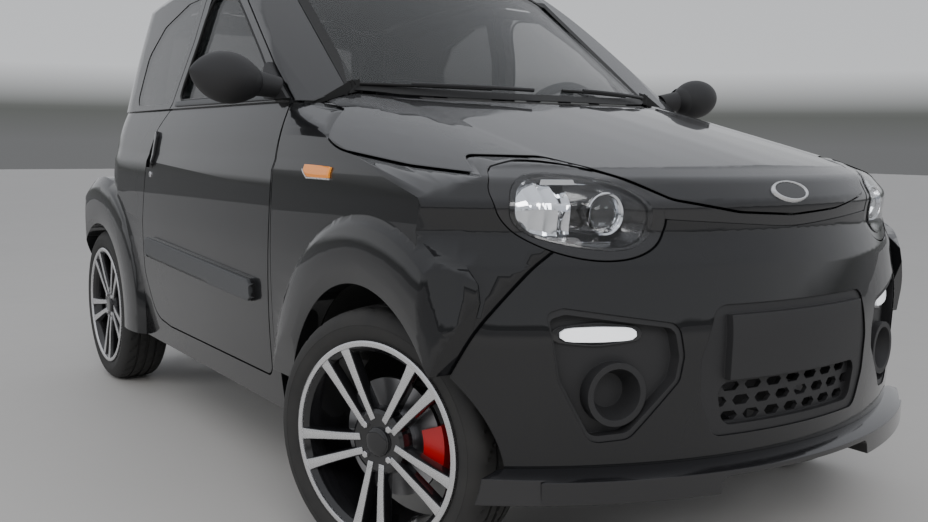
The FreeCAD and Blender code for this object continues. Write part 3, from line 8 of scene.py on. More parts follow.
import bpy
from mathutils import Matrix, Vector
from mathutils.bvhtree import BVHTree
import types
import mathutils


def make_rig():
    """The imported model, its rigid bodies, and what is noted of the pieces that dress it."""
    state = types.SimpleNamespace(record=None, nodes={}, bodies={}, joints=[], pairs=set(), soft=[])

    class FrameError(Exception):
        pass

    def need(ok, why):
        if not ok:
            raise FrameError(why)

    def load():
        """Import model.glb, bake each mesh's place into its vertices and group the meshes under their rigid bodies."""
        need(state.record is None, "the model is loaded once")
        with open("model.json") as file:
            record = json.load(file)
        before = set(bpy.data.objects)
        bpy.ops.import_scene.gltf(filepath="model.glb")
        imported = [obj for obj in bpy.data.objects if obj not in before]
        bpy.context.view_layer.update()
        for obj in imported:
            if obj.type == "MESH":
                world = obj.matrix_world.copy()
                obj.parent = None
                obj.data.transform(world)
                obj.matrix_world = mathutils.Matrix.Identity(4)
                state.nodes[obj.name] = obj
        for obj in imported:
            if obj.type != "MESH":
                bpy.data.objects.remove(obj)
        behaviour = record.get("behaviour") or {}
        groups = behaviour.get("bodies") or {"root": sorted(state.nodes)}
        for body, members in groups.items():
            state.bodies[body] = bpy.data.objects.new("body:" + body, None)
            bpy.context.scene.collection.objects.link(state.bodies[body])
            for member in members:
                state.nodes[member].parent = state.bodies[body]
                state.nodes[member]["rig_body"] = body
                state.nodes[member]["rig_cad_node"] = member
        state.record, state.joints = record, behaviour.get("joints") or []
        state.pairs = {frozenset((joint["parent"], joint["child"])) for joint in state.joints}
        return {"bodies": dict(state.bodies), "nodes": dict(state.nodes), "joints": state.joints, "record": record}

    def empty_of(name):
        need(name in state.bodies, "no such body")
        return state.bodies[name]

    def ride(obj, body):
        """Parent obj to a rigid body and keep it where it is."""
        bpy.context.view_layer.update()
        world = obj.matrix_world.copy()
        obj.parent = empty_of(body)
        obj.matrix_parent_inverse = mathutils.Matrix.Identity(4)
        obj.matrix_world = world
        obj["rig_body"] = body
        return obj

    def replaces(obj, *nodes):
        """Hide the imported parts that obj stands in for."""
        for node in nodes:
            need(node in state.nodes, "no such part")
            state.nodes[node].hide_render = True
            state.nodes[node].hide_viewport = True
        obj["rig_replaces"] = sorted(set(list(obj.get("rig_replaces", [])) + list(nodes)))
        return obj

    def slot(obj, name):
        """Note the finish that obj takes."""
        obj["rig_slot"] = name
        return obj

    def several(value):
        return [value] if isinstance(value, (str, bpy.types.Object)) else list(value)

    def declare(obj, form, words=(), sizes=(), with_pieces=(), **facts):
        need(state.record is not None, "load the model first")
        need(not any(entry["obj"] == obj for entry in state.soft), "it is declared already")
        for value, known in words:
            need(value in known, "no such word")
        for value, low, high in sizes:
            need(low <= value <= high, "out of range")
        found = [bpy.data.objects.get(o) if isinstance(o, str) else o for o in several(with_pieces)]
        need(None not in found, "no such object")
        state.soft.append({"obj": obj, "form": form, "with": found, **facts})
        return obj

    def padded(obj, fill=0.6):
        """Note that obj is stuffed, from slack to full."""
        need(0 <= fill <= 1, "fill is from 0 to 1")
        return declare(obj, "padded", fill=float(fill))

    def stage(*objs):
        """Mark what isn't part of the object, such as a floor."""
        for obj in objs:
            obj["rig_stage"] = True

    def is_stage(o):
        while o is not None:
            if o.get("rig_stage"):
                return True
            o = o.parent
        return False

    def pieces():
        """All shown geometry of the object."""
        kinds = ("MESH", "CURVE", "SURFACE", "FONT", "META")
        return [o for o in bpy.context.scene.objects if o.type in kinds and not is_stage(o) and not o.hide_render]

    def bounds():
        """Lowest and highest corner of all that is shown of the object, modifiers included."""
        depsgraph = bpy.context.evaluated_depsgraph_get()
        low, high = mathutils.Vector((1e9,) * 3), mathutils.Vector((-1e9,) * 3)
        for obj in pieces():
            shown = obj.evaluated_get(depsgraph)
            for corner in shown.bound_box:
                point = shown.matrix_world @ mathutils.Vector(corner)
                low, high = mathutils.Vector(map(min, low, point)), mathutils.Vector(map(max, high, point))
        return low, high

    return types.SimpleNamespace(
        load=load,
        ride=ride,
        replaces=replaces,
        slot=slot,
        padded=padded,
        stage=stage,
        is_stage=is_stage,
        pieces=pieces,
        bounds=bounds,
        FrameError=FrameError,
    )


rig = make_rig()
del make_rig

bl_info = {
    "name": "Microcar dressing",
    "version": (1, 0, 0),
    "blender": (4, 5, 0),
    "location": "3D View > Sidebar > Microcar",
    "description": "Panels, lamps, wheels, glass and cabin of a small two-seat car",
    "category": "Object",
}

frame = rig.load()
NODES = frame["nodes"]
CAD_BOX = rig.bounds()
BODY_OF = {node: body
           for body, members in frame["record"]["behaviour"]["bodies"].items()
           for node in members}
JOINTS = {joint["name"]: joint for joint in frame["joints"]}


class PaintSettings(bpy.types.PropertyGroup):
    """Finish of the painted body."""

    colour: bpy.props.FloatVectorProperty(
        name="Colour", description="Colour of the body paint", subtype="COLOR",
        default=(0.006, 0.0062, 0.007))
    clear_coat: bpy.props.FloatProperty(
        name="Clear coat", description="Strength of the clear coat", default=1.0, min=0, max=1)
    edge_radius: bpy.props.FloatProperty(
        name="Edge radius", description="Rounding that the panel edges show",
        default=0.004, unit="LENGTH")


class WheelSettings(bpy.types.PropertyGroup):
    """Sizes of the wheels and tyres."""

    tyre_radius: bpy.props.FloatProperty(
        name="Tyre radius", description="Radius over the tread", default=0.285, unit="LENGTH")
    tyre_width: bpy.props.FloatProperty(
        name="Tyre width", description="Width of the tyre", default=0.165, unit="LENGTH")
    groove: bpy.props.FloatProperty(
        name="Groove", description="Depth of the tread grooves", default=0.006, unit="LENGTH")
    pairs: bpy.props.IntProperty(
        name="Spoke pairs", description="Pairs of spokes on a rim", default=5, min=3)


class StageSettings(bpy.types.PropertyGroup):
    """Floor and light."""

    floor: bpy.props.FloatVectorProperty(
        name="Floor", description="Colour of the floor", subtype="COLOR",
        default=(0.44, 0.43, 0.415))
    sky: bpy.props.FloatProperty(
        name="Sky", description="Strength of the surrounding light", default=0.62, min=0)
    focal: bpy.props.FloatProperty(
        name="Focal length", description="Lens of the camera", default=38.37, unit="CAMERA")


# ---- shader helpers


class Wire:
    """A shader socket that takes part in Python sums."""

    def __init__(self, finish, socket):
        self.finish = finish
        self.socket = socket

    def math(self, operation, other, swapped=False):
        first, second = (other, self) if swapped else (self, other)
        return self.finish.node("ShaderNodeMath", {"operation": operation},
                                {0: first, 1: second})

    def __add__(self, other):
        return self.math("ADD", other)

    __radd__ = __add__

    def __sub__(self, other):
        return self.math("SUBTRACT", other)

    def __rsub__(self, other):
        return self.math("SUBTRACT", other, True)

    def __mul__(self, other):
        return self.math("MULTIPLY", other)

    __rmul__ = __mul__

    def __truediv__(self, other):
        return self.math("DIVIDE", other)

    def over(self, level):
        return self.math("GREATER_THAN", level)

    def mix(self, low, high):
        """Colour between low and high by this factor."""
        return self.finish.node("ShaderNodeMix", {"data_type": "RGBA"},
                                {0: self, 6: low, 7: high}, 2)


class Finish:
    """A material and the nodes that vary it."""

    def __init__(self, name, colour, rough, **constants):
        self.material = bpy.data.materials.new(name)
        self.material.use_nodes = True
        self.tree = self.material.node_tree
        self.shader = self.tree.nodes["Principled BSDF"]
        self.colour = (*colour, 1)
        self.feed(self.shader.inputs["Base Color"], self.colour)
        self.feed(self.shader.inputs["Roughness"], rough)
        for socket, value in constants.items():
            self.feed(self.shader.inputs[socket.replace("_", " ").title().replace("Ior", "IOR")],
                      value)

    def feed(self, socket, value):
        if isinstance(value, Wire):
            self.tree.links.new(value.socket, socket)
        else:
            socket.default_value = value

    def node(self, kind, settings=None, inputs=None, output=0):
        made = self.tree.nodes.new(kind)
        for key, value in (settings or {}).items():
            if key == "stops":
                for stop, (place, tone) in zip(made.color_ramp.elements, value):
                    stop.position = place
                    stop.color = (tone, tone, tone, 1)
            else:
                setattr(made, key, value)
        for key, value in (inputs or {}).items():
            self.feed(made.inputs[key], value)
        return Wire(self, made.outputs[output])

    def place(self):
        return self.node("ShaderNodeTexCoord", output=3)

    def noise(self, scale, detail=3, **more):
        inputs = {"Vector": self.place(), "Scale": scale, "Detail": detail}
        inputs.update(more)
        return self.node("ShaderNodeTexNoise", inputs=inputs)

    def drive(self, socket, value):
        self.feed(self.shader.inputs[socket], value)
        return self

    def bump(self, height, strength, distance, under=None):
        inputs = {"Height": height, "Strength": strength, "Distance": distance}
        if under is not None:
            inputs["Normal"] = under
        self.drive("Normal", self.node("ShaderNodeBump", inputs=inputs))
        return self

    def rounded(self, radius):
        return self.node("ShaderNodeBevel", {"samples": 6}, {"Radius": radius})


FINISHES = {}


def finish_of(name):
    """Material by name, made the first time that it is asked for."""
    if name not in FINISHES:
        FINISHES[name] = globals()["finish_" + name]().material
    return FINISHES[name]


def finish_paint():
    paint = bpy.context.scene.microcar_paint
    made = Finish("paint", paint.colour, 0.3, coat_weight=paint.clear_coat,
                  coat_roughness=0.015, coat_ior=1.52, specular_ior_level=0.1)
    dust = made.noise(2.3, 5)
    made.drive("Roughness", 0.3 + 0.1 * dust)
    peel = made.noise(180, 1)
    made.bump(peel, 0.012, 0.001, made.rounded(paint.edge_radius))
    return made


def finish_trim():
    made = Finish("trim", (0.018, 0.018, 0.019), 0.5)
    grain = made.noise(900, 2)
    made.drive("Roughness", 0.42 + 0.2 * grain)
    made.bump(grain, 0.25, 0.0004, made.rounded(0.002))
    return made


def finish_satin_trim():
    made = Finish("satin_trim", (0.05, 0.052, 0.055), 0.4)
    grain = made.noise(700, 2)
    made.drive("Roughness", 0.32 + 0.18 * grain)
    made.bump(grain, 0.12, 0.0003, made.rounded(0.002))
    return made


def finish_gloss_black():
    made = Finish("gloss_black", (0.008, 0.008, 0.009), 0.16, coat_weight=0.6,
                  coat_roughness=0.04)
    made.drive("Roughness", 0.14 + 0.08 * made.noise(9, 4))
    made.bump(made.noise(150, 1), 0.02, 0.001, made.rounded(0.003))
    return made


def finish_underbody():
    made = Finish("underbody", (0.02, 0.02, 0.021), 0.75)
    grit = made.noise(120, 4)
    made.drive("Base Color", grit.mix((0.012, 0.012, 0.012, 1), (0.035, 0.034, 0.033, 1)))
    made.bump(grit, 0.35, 0.001)
    return made


def finish_chassis():
    made = Finish("chassis", (0.025, 0.025, 0.026), 0.45)
    made.drive("Roughness", 0.38 + 0.3 * made.noise(30, 4))
    return made


def finish_engine():
    made = Finish("engine", (0.13, 0.13, 0.135), 0.6, metallic=0.6)
    cast = made.noise(220, 4)
    made.drive("Roughness", 0.45 + 0.3 * cast)
    made.bump(cast, 0.5, 0.001)
    return made


def finish_glass():
    made = Finish("window_glass", (0.012, 0.015, 0.015), 0.03, alpha=0.36, coat_weight=1.0,
                  coat_roughness=0.01)
    made.drive("Roughness", 0.02 + 0.02 * made.noise(5, 3))
    return made


def finish_dark_glass():
    made = Finish("tinted_glass", (0.008, 0.009, 0.010), 0.03, alpha=0.66, coat_weight=1.0,
                  coat_roughness=0.01)
    made.drive("Roughness", 0.02 + 0.02 * made.noise(5, 3))
    return made


def finish_lens():
    made = Finish("lens", (0.96, 0.97, 0.98), 0.0, transmission_weight=1.0, ior=1.3)
    made.drive("Roughness", 0.02 * made.noise(6, 3))
    return made


def finish_bright():
    made = Finish("reflector", (0.86, 0.87, 0.89), 0.06, metallic=1.0)
    made.drive("Roughness", 0.03 + 0.07 * made.noise(40, 2))
    return made


def finish_light_bar():
    made = Finish("light_bar", (0.92, 0.93, 0.95), 0.25, emission_strength=0.55)
    glow = made.noise(60, 2)
    made.drive("Emission Color", glow.mix((0.85, 0.9, 1, 1), (1, 1, 1, 1)))
    made.drive("Roughness", 0.2 + 0.1 * glow)
    return made


def finish_amber():
    made = Finish("amber", (0.85, 0.24, 0.02), 0.15, coat_weight=0.6, coat_roughness=0.05)
    ribs = made.node("ShaderNodeTexWave", {"bands_direction": "Y"},
                     {"Vector": made.place(), "Scale": 60, "Distortion": 0})
    made.drive("Base Color", ribs.mix((0.7, 0.16, 0.01, 1), (0.95, 0.36, 0.05, 1)))
    return made


def finish_red_lens():
    made = Finish("red_lens", (0.32, 0.008, 0.01), 0.12, coat_weight=0.8, coat_roughness=0.04)
    ribs = made.node("ShaderNodeTexWave", {"bands_direction": "Z"},
                     {"Vector": made.place(), "Scale": 38, "Distortion": 0})
    made.drive("Base Color", ribs.mix((0.2, 0.005, 0.006, 1), (0.5, 0.02, 0.02, 1)))
    made.bump(ribs, 0.15, 0.001)
    return made


def finish_liner():
    made = Finish("liner", (0.014, 0.014, 0.014), 0.85)
    felt = made.noise(400, 5)
    made.bump(felt, 0.6, 0.001)
    made.drive("Base Color", felt.mix((0.008, 0.008, 0.008, 1), (0.024, 0.024, 0.023, 1)))
    return made


def finish_dash():
    made = Finish("dash", (0.03, 0.03, 0.032), 0.6)
    cells = made.node("ShaderNodeTexVoronoi", inputs={"Vector": made.place(), "Scale": 420})
    made.bump(cells, 0.3, 0.0006)
    made.drive("Roughness", 0.5 + 0.25 * made.noise(14, 4))
    return made


def finish_seat():
    made = Finish("seat", (0.045, 0.047, 0.052), 0.85, sheen_weight=0.25)
    across = made.node("ShaderNodeTexWave", {"bands_direction": "X"},
                       {"Vector": made.place(), "Scale": 190, "Distortion": 0.4})
    along = made.node("ShaderNodeTexWave", {"bands_direction": "DIAGONAL"},
                      {"Vector": made.place(), "Scale": 190, "Distortion": 0.4})
    weave = across * along
    made.drive("Base Color", weave.mix((0.022, 0.023, 0.027, 1), (0.075, 0.078, 0.086, 1)))
    made.bump(weave, 0.4, 0.0008)
    return made


def finish_caliper():
    made = Finish("caliper", (0.42, 0.008, 0.01), 0.3, coat_weight=0.5, coat_roughness=0.1)
    made.drive("Roughness", 0.24 + 0.2 * made.noise(60, 3))
    return made


def finish_disc():
    made = Finish("disc", (0.42, 0.42, 0.43), 0.3, metallic=1.0)
    made.drive("Roughness", 0.26 + 0.25 * made.noise(24, 3))
    return made


def finish_machined():
    made = Finish("machined", (0.78, 0.78, 0.79), 0.24, metallic=1.0)
    made.drive("Roughness", 0.2 + 0.14 * made.noise(300, 2))
    made.bump(made.noise(500, 1), 0.03, 0.0003, made.rounded(0.0012))
    return made


def finish_tyre():
    made = Finish("tyre", (0.016, 0.016, 0.0165), 0.7)
    dust = made.noise(26, 5)
    made.drive("Base Color", dust.mix((0.011, 0.011, 0.0115, 1), (0.034, 0.033, 0.031, 1)))
    made.drive("Roughness", 0.56 + 0.26 * dust)
    made.bump(made.noise(420, 3), 0.2, 0.0006)
    return made


def finish_mirror_face():
    made = Finish("mirror_face", (0.88, 0.9, 0.91), 0.02, metallic=1.0)
    made.drive("Roughness", 0.01 + 0.02 * made.noise(8, 3))
    return made


def finish_seal():
    made = Finish("seal", (0.009, 0.009, 0.009), 0.6)
    made.drive("Roughness", 0.5 + 0.2 * made.noise(200, 3))
    return made


def finish_floor():
    tone = bpy.context.scene.microcar_stage.floor
    made = Finish("floor", tone, 0.6)
    cloud = made.noise(0.9, 4)
    low = tuple(part * 0.93 for part in tone)
    made.drive("Base Color", cloud.mix((*low, 1), (*tone, 1)))
    made.drive("Roughness", 0.55 + 0.15 * made.noise(7, 4))
    return made


# ---- mesh helpers


def activate(*objects):
    """Select these objects and nothing else."""
    bpy.ops.object.select_all(action="DESELECT")
    for item in objects:
        item.select_set(True)
    bpy.context.view_layer.objects.active = objects[-1]


def edit(piece, *steps):
    """Run mesh operators on the whole of a piece."""
    activate(piece)
    bpy.ops.object.mode_set(mode="EDIT")
    bpy.ops.mesh.select_all(action="SELECT")
    for step, options in steps:
        getattr(bpy.ops.mesh, step)(**options)
    bpy.ops.object.mode_set(mode="OBJECT")


def smooth(piece, angle=35):
    activate(piece)
    bpy.ops.object.shade_smooth_by_angle(angle=math.radians(angle))


def modify(piece, kind, **settings):
    """Add a modifier, set it and apply it."""
    activate(piece)
    modifier = piece.modifiers.new(kind.title(), kind)
    for key, value in settings.items():
        setattr(modifier, key, value)
    bpy.ops.object.modifier_apply(modifier=modifier.name)


def finished(piece, finish, body, slot=None, replaced=()):
    """Give a piece its material, its body and what it stands for."""
    piece.data.materials.clear()
    piece.data.materials.append(finish_of(finish))
    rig.ride(piece, body)
    if replaced:
        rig.replaces(piece, *replaced)
    if slot:
        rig.slot(piece, slot)
    return piece


def mesh_piece(name, points, faces):
    mesh = bpy.data.meshes.new(name)
    mesh.from_pydata([tuple(point) for point in points], [], faces)
    mesh.validate()
    piece = bpy.data.objects.new(name, mesh)
    bpy.context.scene.collection.objects.link(piece)
    return piece


def loft(name, sections, ring=False, caps=True):
    """Skin over closed sections with the same number of points."""
    count = len(sections[0])
    points = [point for section in sections for point in section]
    faces = []
    spans = len(sections) if ring else len(sections) - 1
    for step in range(spans):
        here = step * count
        there = ((step + 1) % len(sections)) * count
        for corner in range(count):
            nearby = (corner + 1) % count
            faces.append((here + corner, here + nearby, there + nearby, there + corner))
    if caps and not ring:
        faces.append(tuple(reversed(range(count))))
        faces.append(tuple((len(sections) - 1) * count + corner for corner in range(count)))
    piece = mesh_piece(name, points, faces)
    edit(piece, ("normals_make_consistent", {"inside": False}))
    return piece


def turned(name, profile, steps=96):
    """Profile of (x, radius) turned about the X axis."""
    points = [Vector((x, 0, radius)) for x, radius in profile]
    mesh = bpy.data.meshes.new(name)
    edges = [(step, step + 1) for step in range(len(points) - 1)]
    mesh.from_pydata([tuple(point) for point in points], edges, [])
    piece = bpy.data.objects.new(name, mesh)
    bpy.context.scene.collection.objects.link(piece)
    edit(piece,
         ("spin", {"steps": steps, "angle": 2 * math.pi, "center": (0, 0, 0),
                   "axis": (1, 0, 0)}),
         ("select_all", {"action": "SELECT"}),
         ("remove_doubles", {"threshold": 0.00002}),
         ("normals_make_consistent", {"inside": False}))
    return piece


def copied(piece, name, matrix):
    """Copy of a piece with its own mesh, moved by a matrix."""
    made = bpy.data.objects.new(name, piece.data.copy())
    bpy.context.scene.collection.objects.link(made)
    made.data.transform(matrix)
    if matrix.determinant() < 0:
        made.data.flip_normals()
    return made


MIRRORED = Matrix.Diagonal((-1, 1, 1, 1))


class Skin:
    """Outer surface of some CAD nodes, felt along straight lines."""

    def __init__(self, *nodes):
        points = []
        faces = []
        for node in nodes:
            start = len(points)
            mesh = NODES[node].data
            points.extend(vertex.co.copy() for vertex in mesh.vertices)
            faces.extend([start + corner for corner in face.vertices]
                         for face in mesh.polygons)
        self.tree = BVHTree.FromPolygons(points, faces)

    def feel(self, start, direction):
        point, normal, _, _ = self.tree.ray_cast(Vector(start), Vector(direction))
        return point, normal

    def from_right(self, y, z):
        return self.feel((-2, y, z), (1, 0, 0))

    def from_front(self, x, z):
        return self.feel((x, -3, z), (0, 1, 0))

    def from_rear(self, x, z):
        return self.feel((x, 3, z), (0, -1, 0))


def cad_copy(node, finish, angle=28, name=None):
    """Merged and smoothed copy of a CAD node, shown in its place."""
    piece = bpy.data.objects.new(name or node + "_skin", NODES[node].data.copy())
    bpy.context.scene.collection.objects.link(piece)
    edit(piece, ("customdata_custom_splitnormals_clear", {}),
         ("remove_doubles", {"threshold": 0.00003}))
    smooth(piece, angle)
    return finished(piece, finish, BODY_OF[node], replaced=(node,))


def panel(node, finish, sharp, slot="paint"):
    """Painted panel: the CAD skin with its shallow creases shaded round."""
    piece = bpy.data.objects.new(node + "_panel", NODES[node].data.copy())
    bpy.context.scene.collection.objects.link(piece)
    edit(piece, ("customdata_custom_splitnormals_clear", {}),
         ("remove_doubles", {"threshold": 0.00005}),
         ("dissolve_degenerate", {"threshold": 0.00005}),
         ("dissolve_limited", {"angle_limit": math.radians(0.6)}))
    smooth(piece, sharp)
    modify(piece, "WEIGHTED_NORMAL", keep_sharp=True, weight=80)
    return finished(piece, finish, BODY_OF[node], slot, (node,))


# ---- pieces


PANELS = ("side_right", "side_left", "roof_panel", "fender_right", "fender_left", "hood",
          "front_bumper", "door_right", "door_left", "tailgate", "rear_bumper")
# Angles in degrees up to which creases are shaded round, and panels with the wider one.
CREASE = 38
WIDE_CREASE = 52
ROUNDER = ("fender_right", "fender_left", "front_bumper", "rear_bumper", "side_right",
           "side_left")
PLAIN = (("nose_band", "gloss_black"), ("splitter", "gloss_black"), ("grille", "trim"),
         ("fog_pods", "trim"), ("floor_pan", "underbody"), ("bulkhead", "underbody"),
         ("front_frame", "chassis"), ("engine_block", "engine"),
         ("arch_liners", "liner"), ("rear_axle", "chassis"), ("dashboard", "dash"),
         ("steering_wheel", "dash"), ("mirror_right", "trim"), ("mirror_left", "trim"),
         ("disc_right", "disc"), ("disc_left", "disc"), ("tail_lamps", "red_lens"),
         ("knuckle_right", "chassis"), ("knuckle_left", "chassis"))
# Distance from the wheel's axis past which the knuckle is its caliper.
CALIPER_INNER = 0.0965
GLAZING = (("windscreen", "glass"), ("quarter_glass", "dark_glass"),
           ("door_glass_right", "glass"), ("door_glass_left", "glass"),
           ("tailgate_glass", "dark_glass"))


class MICROCAR_OT_panels(bpy.types.Operator):
    """Painted panels of the body"""

    bl_idname = "microcar.panels"
    bl_label = "Painted panels"

    def execute(self, context):
        for node in PANELS:
            panel(node, "paint", WIDE_CREASE if node in ROUNDER else CREASE)
        return {"FINISHED"}


class MICROCAR_OT_plain(bpy.types.Operator):
    """Pieces whose CAD shape is kept as it is"""

    bl_idname = "microcar.plain"
    bl_label = "Plain pieces"

    def execute(self, context):
        for node, finish in PLAIN:
            piece = cad_copy(node, finish)
            if node.startswith("knuckle"):
                joint = JOINTS[node.replace("knuckle", "wheel_front") + "_spin"]
                axis = Vector(joint["axis"]).normalized()
                piece.data.materials.append(finish_of("caliper"))
                for face in piece.data.polygons:
                    away = face.center - Vector(joint["pos_m"])
                    if (away - axis * away.dot(axis)).length > CALIPER_INNER:
                        face.material_index = 1
        return {"FINISHED"}


class MICROCAR_OT_glazing(bpy.types.Operator):
    """Windows"""

    bl_idname = "microcar.glazing"
    bl_label = "Windows"

    def execute(self, context):
        for node, finish in GLAZING:
            panel(node, finish, CREASE, finish)
        return {"FINISHED"}


def wheel_matrix(joint, left):
    """Place of a wheel, modelled with its outer face to -X."""
    place = Vector(joint["pos_m"])
    axis = Vector(joint["axis"]).normalized()
    turn = math.atan2(axis.y, axis.x) + (math.pi if left else 0)
    return Matrix.Translation(place) @ Matrix.Rotation(turn, 4, "Z")


def tyre_mesh(settings):
    """Tyre with ribs, grooves and slanting cuts in its shoulders."""
    half = settings.tyre_width / 2
    outer = settings.tyre_radius
    bead = 0.2045
    side = [(-half + 0.012, bead), (-half + 0.009, 0.2195), (-half + 0.004, 0.226),
            (-half + 0.001, 0.238), (-half, 0.248), (-half + 0.0006, 0.2485),
            (-half + 0.0006, 0.2505), (-half, 0.251), (-half + 0.003, 0.262),
            (-half + 0.008, 0.270), (-half + 0.014, 0.2768)]
    rows = [(-0.062, 0.2812), (-0.054, 0.2828), (-0.046, 0.2836), (-0.038, 0.2842),
            (-0.0355, 0.2843), (-0.0350, 0.2843 - settings.groove),
            (-0.0275, 0.2846 - settings.groove), (-0.0270, 0.2846),
            (-0.018, 0.2848), (-0.0065, 0.2850), (-0.0060, 0.2850 - settings.groove),
            ]
    tread = [(x, radius, index) for index, (x, radius) in enumerate(rows)]
    profile = [(x, radius, -1) for x, radius in side] + tread
    profile += [(-x, radius, index) for x, radius, index in reversed(profile)]
    steps = 288
    points = []
    for step in range(steps):
        turn = step * 2 * math.pi / steps
        for x, radius, index in profile:
            depth = 0
            slant = int(round((abs(x) - 0.03) * 260))
            phase = (step + (slant if x < 0 else -slant)) % 9
            if 0 <= index <= 4 and phase == 0:
                depth = settings.groove * (0.8 if index > 0 else 0.5)
            if 7 <= index <= 9 and (phase + 4) % 9 == 0:
                depth = settings.groove * 0.6
            reach = radius - depth
            points.append((x, reach * math.sin(turn), reach * math.cos(turn)))
    count = len(profile)
    faces = []
    for step in range(steps):
        here = step * count
        there = ((step + 1) % steps) * count
        for corner in range(count):
            nearby = (corner + 1) % count
            faces.append((here + corner, there + corner, there + nearby, here + nearby))
    piece = mesh_piece("tyre_pattern", points, faces)
    edit(piece, ("normals_make_consistent", {"inside": False}))
    smooth(piece, 32)
    return piece


# Spoke stations: radius, middle to side, half width, face x and depth.
SPOKE = ((0.046, 0.0150, 0.0085, -0.0640, 0.026), (0.075, 0.0180, 0.0088, -0.0670, 0.025),
         (0.110, 0.0222, 0.0094, -0.0705, 0.024), (0.150, 0.0275, 0.0104, -0.0735, 0.023),
         (0.185, 0.0325, 0.0120, -0.0765, 0.022), (0.2035, 0.0352, 0.0136, -0.0790, 0.020))


def spoke_mesh(name, face_only):
    """One spoke along -Z, or only its machined face."""
    sections = []
    for radius, side, half, face, depth in SPOKE:
        lift = 0.0006 if face_only else 0
        half = half - (0.0014 if face_only else 0)
        back = face + (0.001 if face_only else depth)
        wide = half if face_only else half + 0.003
        sections.append([Vector((face - lift, side - half, -radius)),
                         Vector((face - lift, side + half, -radius)),
                         Vector((back, side + wide, -radius)),
                         Vector((back, side - wide, -radius))])
    piece = loft(name, sections)
    modify(piece, "BEVEL", width=0.0012 if not face_only else 0.0004, segments=2,
           limit_method="ANGLE")
    smooth(piece, 40)
    return piece


def rim_pieces(settings):
    """Rim barrel, black spokes, machined faces, cap and bolts at the origin."""
    half = settings.tyre_width / 2
    black = []
    silver = []
    barrel = turned("rim_barrel", [
        (-half + 0.0045, 0.2155), (-half + 0.012, 0.2165), (-half + 0.012, 0.203),
        (half - 0.010, 0.203), (half - 0.006, 0.214), (half - 0.002, 0.214),
        (half - 0.003, 0.198), (0.02, 0.187), (-0.045, 0.187), (-half + 0.014, 0.1945),
        (-half + 0.006, 0.2035), (-half + 0.0045, 0.2155)], 120)
    smooth(barrel, 30)
    black.append(barrel)
    ring = turned("rim_ring", [
        (-half + 0.0035, 0.2045), (-half + 0.0005, 0.2062), (-half, 0.2140),
        (-half + 0.002, 0.2178), (-half + 0.006, 0.2182), (-half + 0.010, 0.2175),
        (-half + 0.008, 0.2045), (-half + 0.0035, 0.2045)], 120)
    smooth(ring, 30)
    silver.append(ring)
    hub = turned("rim_hub", [
        (-0.0660, 0.0), (-0.0660, 0.0290), (-0.0645, 0.0310), (-0.0600, 0.0318),
        (-0.0600, 0.0350), (-0.0645, 0.0620), (-0.0600, 0.0700), (-0.0420, 0.0745),
        (-0.0360, 0.0740), (-0.0360, 0.0)], 64)
    smooth(hub, 30)
    black.append(hub)
    cap = turned("rim_cap", [
        (-0.0700, 0.0), (-0.0698, 0.0190), (-0.0690, 0.0250), (-0.0672, 0.0280),
        (-0.0640, 0.0285), (-0.0640, 0.0)], 48)
    smooth(cap, 30)
    black.append(cap)
    for bolt in range(4):
        turn = math.radians(45 + 90 * bolt)
        head = turned("rim_bolt", [(-0.0685, 0.0), (-0.0685, 0.0062), (-0.0672, 0.0078),
                                   (-0.0560, 0.0080), (-0.0560, 0.0)], 6)
        smooth(head, 20)
        head.data.transform(Matrix.Translation((0, 0.046 * math.sin(turn),
                                                0.046 * math.cos(turn))))
        silver.append(head)
    for pair in range(settings.pairs):
        turn = Matrix.Rotation(math.radians(pair * 360 / settings.pairs + 4), 4, "X")
        for side in (1, -1):
            matrix = turn @ Matrix.Diagonal((1, side, 1, 1))
            for only, group in ((False, black), (True, silver)):
                bar = spoke_mesh("rim_spoke", only)
                bar.data.transform(matrix)
                if side < 0:
                    bar.data.flip_normals()
                group.append(bar)
    return black, silver


def joined(pieces, name):
    activate(*pieces)
    bpy.ops.object.join()
    made = bpy.context.view_layer.objects.active
    made.name = name
    made.data.name = name
    return made


class MICROCAR_OT_wheels(bpy.types.Operator):
    """Tyres and alloy rims at the four corners"""

    bl_idname = "microcar.wheels"
    bl_label = "Wheels"

    def execute(self, context):
        settings = context.scene.microcar_wheels
        tyre = tyre_mesh(settings)
        black, silver = rim_pieces(settings)
        black = joined(black, "rim_black")
        silver = joined(silver, "rim_silver")
        for corner in ("front_right", "front_left", "rear_right", "rear_left"):
            body = "wheel_" + corner
            matrix = wheel_matrix(JOINTS[body + "_spin"], corner.endswith("left"))
            finished(copied(tyre, "tyre_tread_" + corner, matrix), "tyre", body, "tyre",
                     ("tyre_" + corner,))
            finished(copied(black, "rim_body_" + corner, matrix), "gloss_black", body, "rim",
                     ("rim_" + corner,))
            finished(copied(silver, "rim_face_" + corner, matrix), "machined", body, "rim")
        for pattern in (tyre, black, silver):
            bpy.data.objects.remove(pattern)
        return {"FINISHED"}


def facing(node, name, direction, limit):
    """The part of a CAD node's surface that faces a direction."""
    piece = bpy.data.objects.new(name, NODES[node].data.copy())
    bpy.context.scene.collection.objects.link(piece)
    edit(piece, ("customdata_custom_splitnormals_clear", {}),
         ("remove_doubles", {"threshold": 0.00003}))
    for face in piece.data.polygons:
        face.select = face.normal.dot(direction) < limit
    activate(piece)
    bpy.ops.object.mode_set(mode="EDIT")
    bpy.ops.mesh.select_mode(type="FACE")
    bpy.ops.object.mode_set(mode="OBJECT")
    for face in piece.data.polygons:
        face.select = face.normal.dot(direction) < limit
    bpy.ops.object.mode_set(mode="EDIT")
    bpy.ops.mesh.delete(type="FACE")
    bpy.ops.object.mode_set(mode="OBJECT")
    return piece


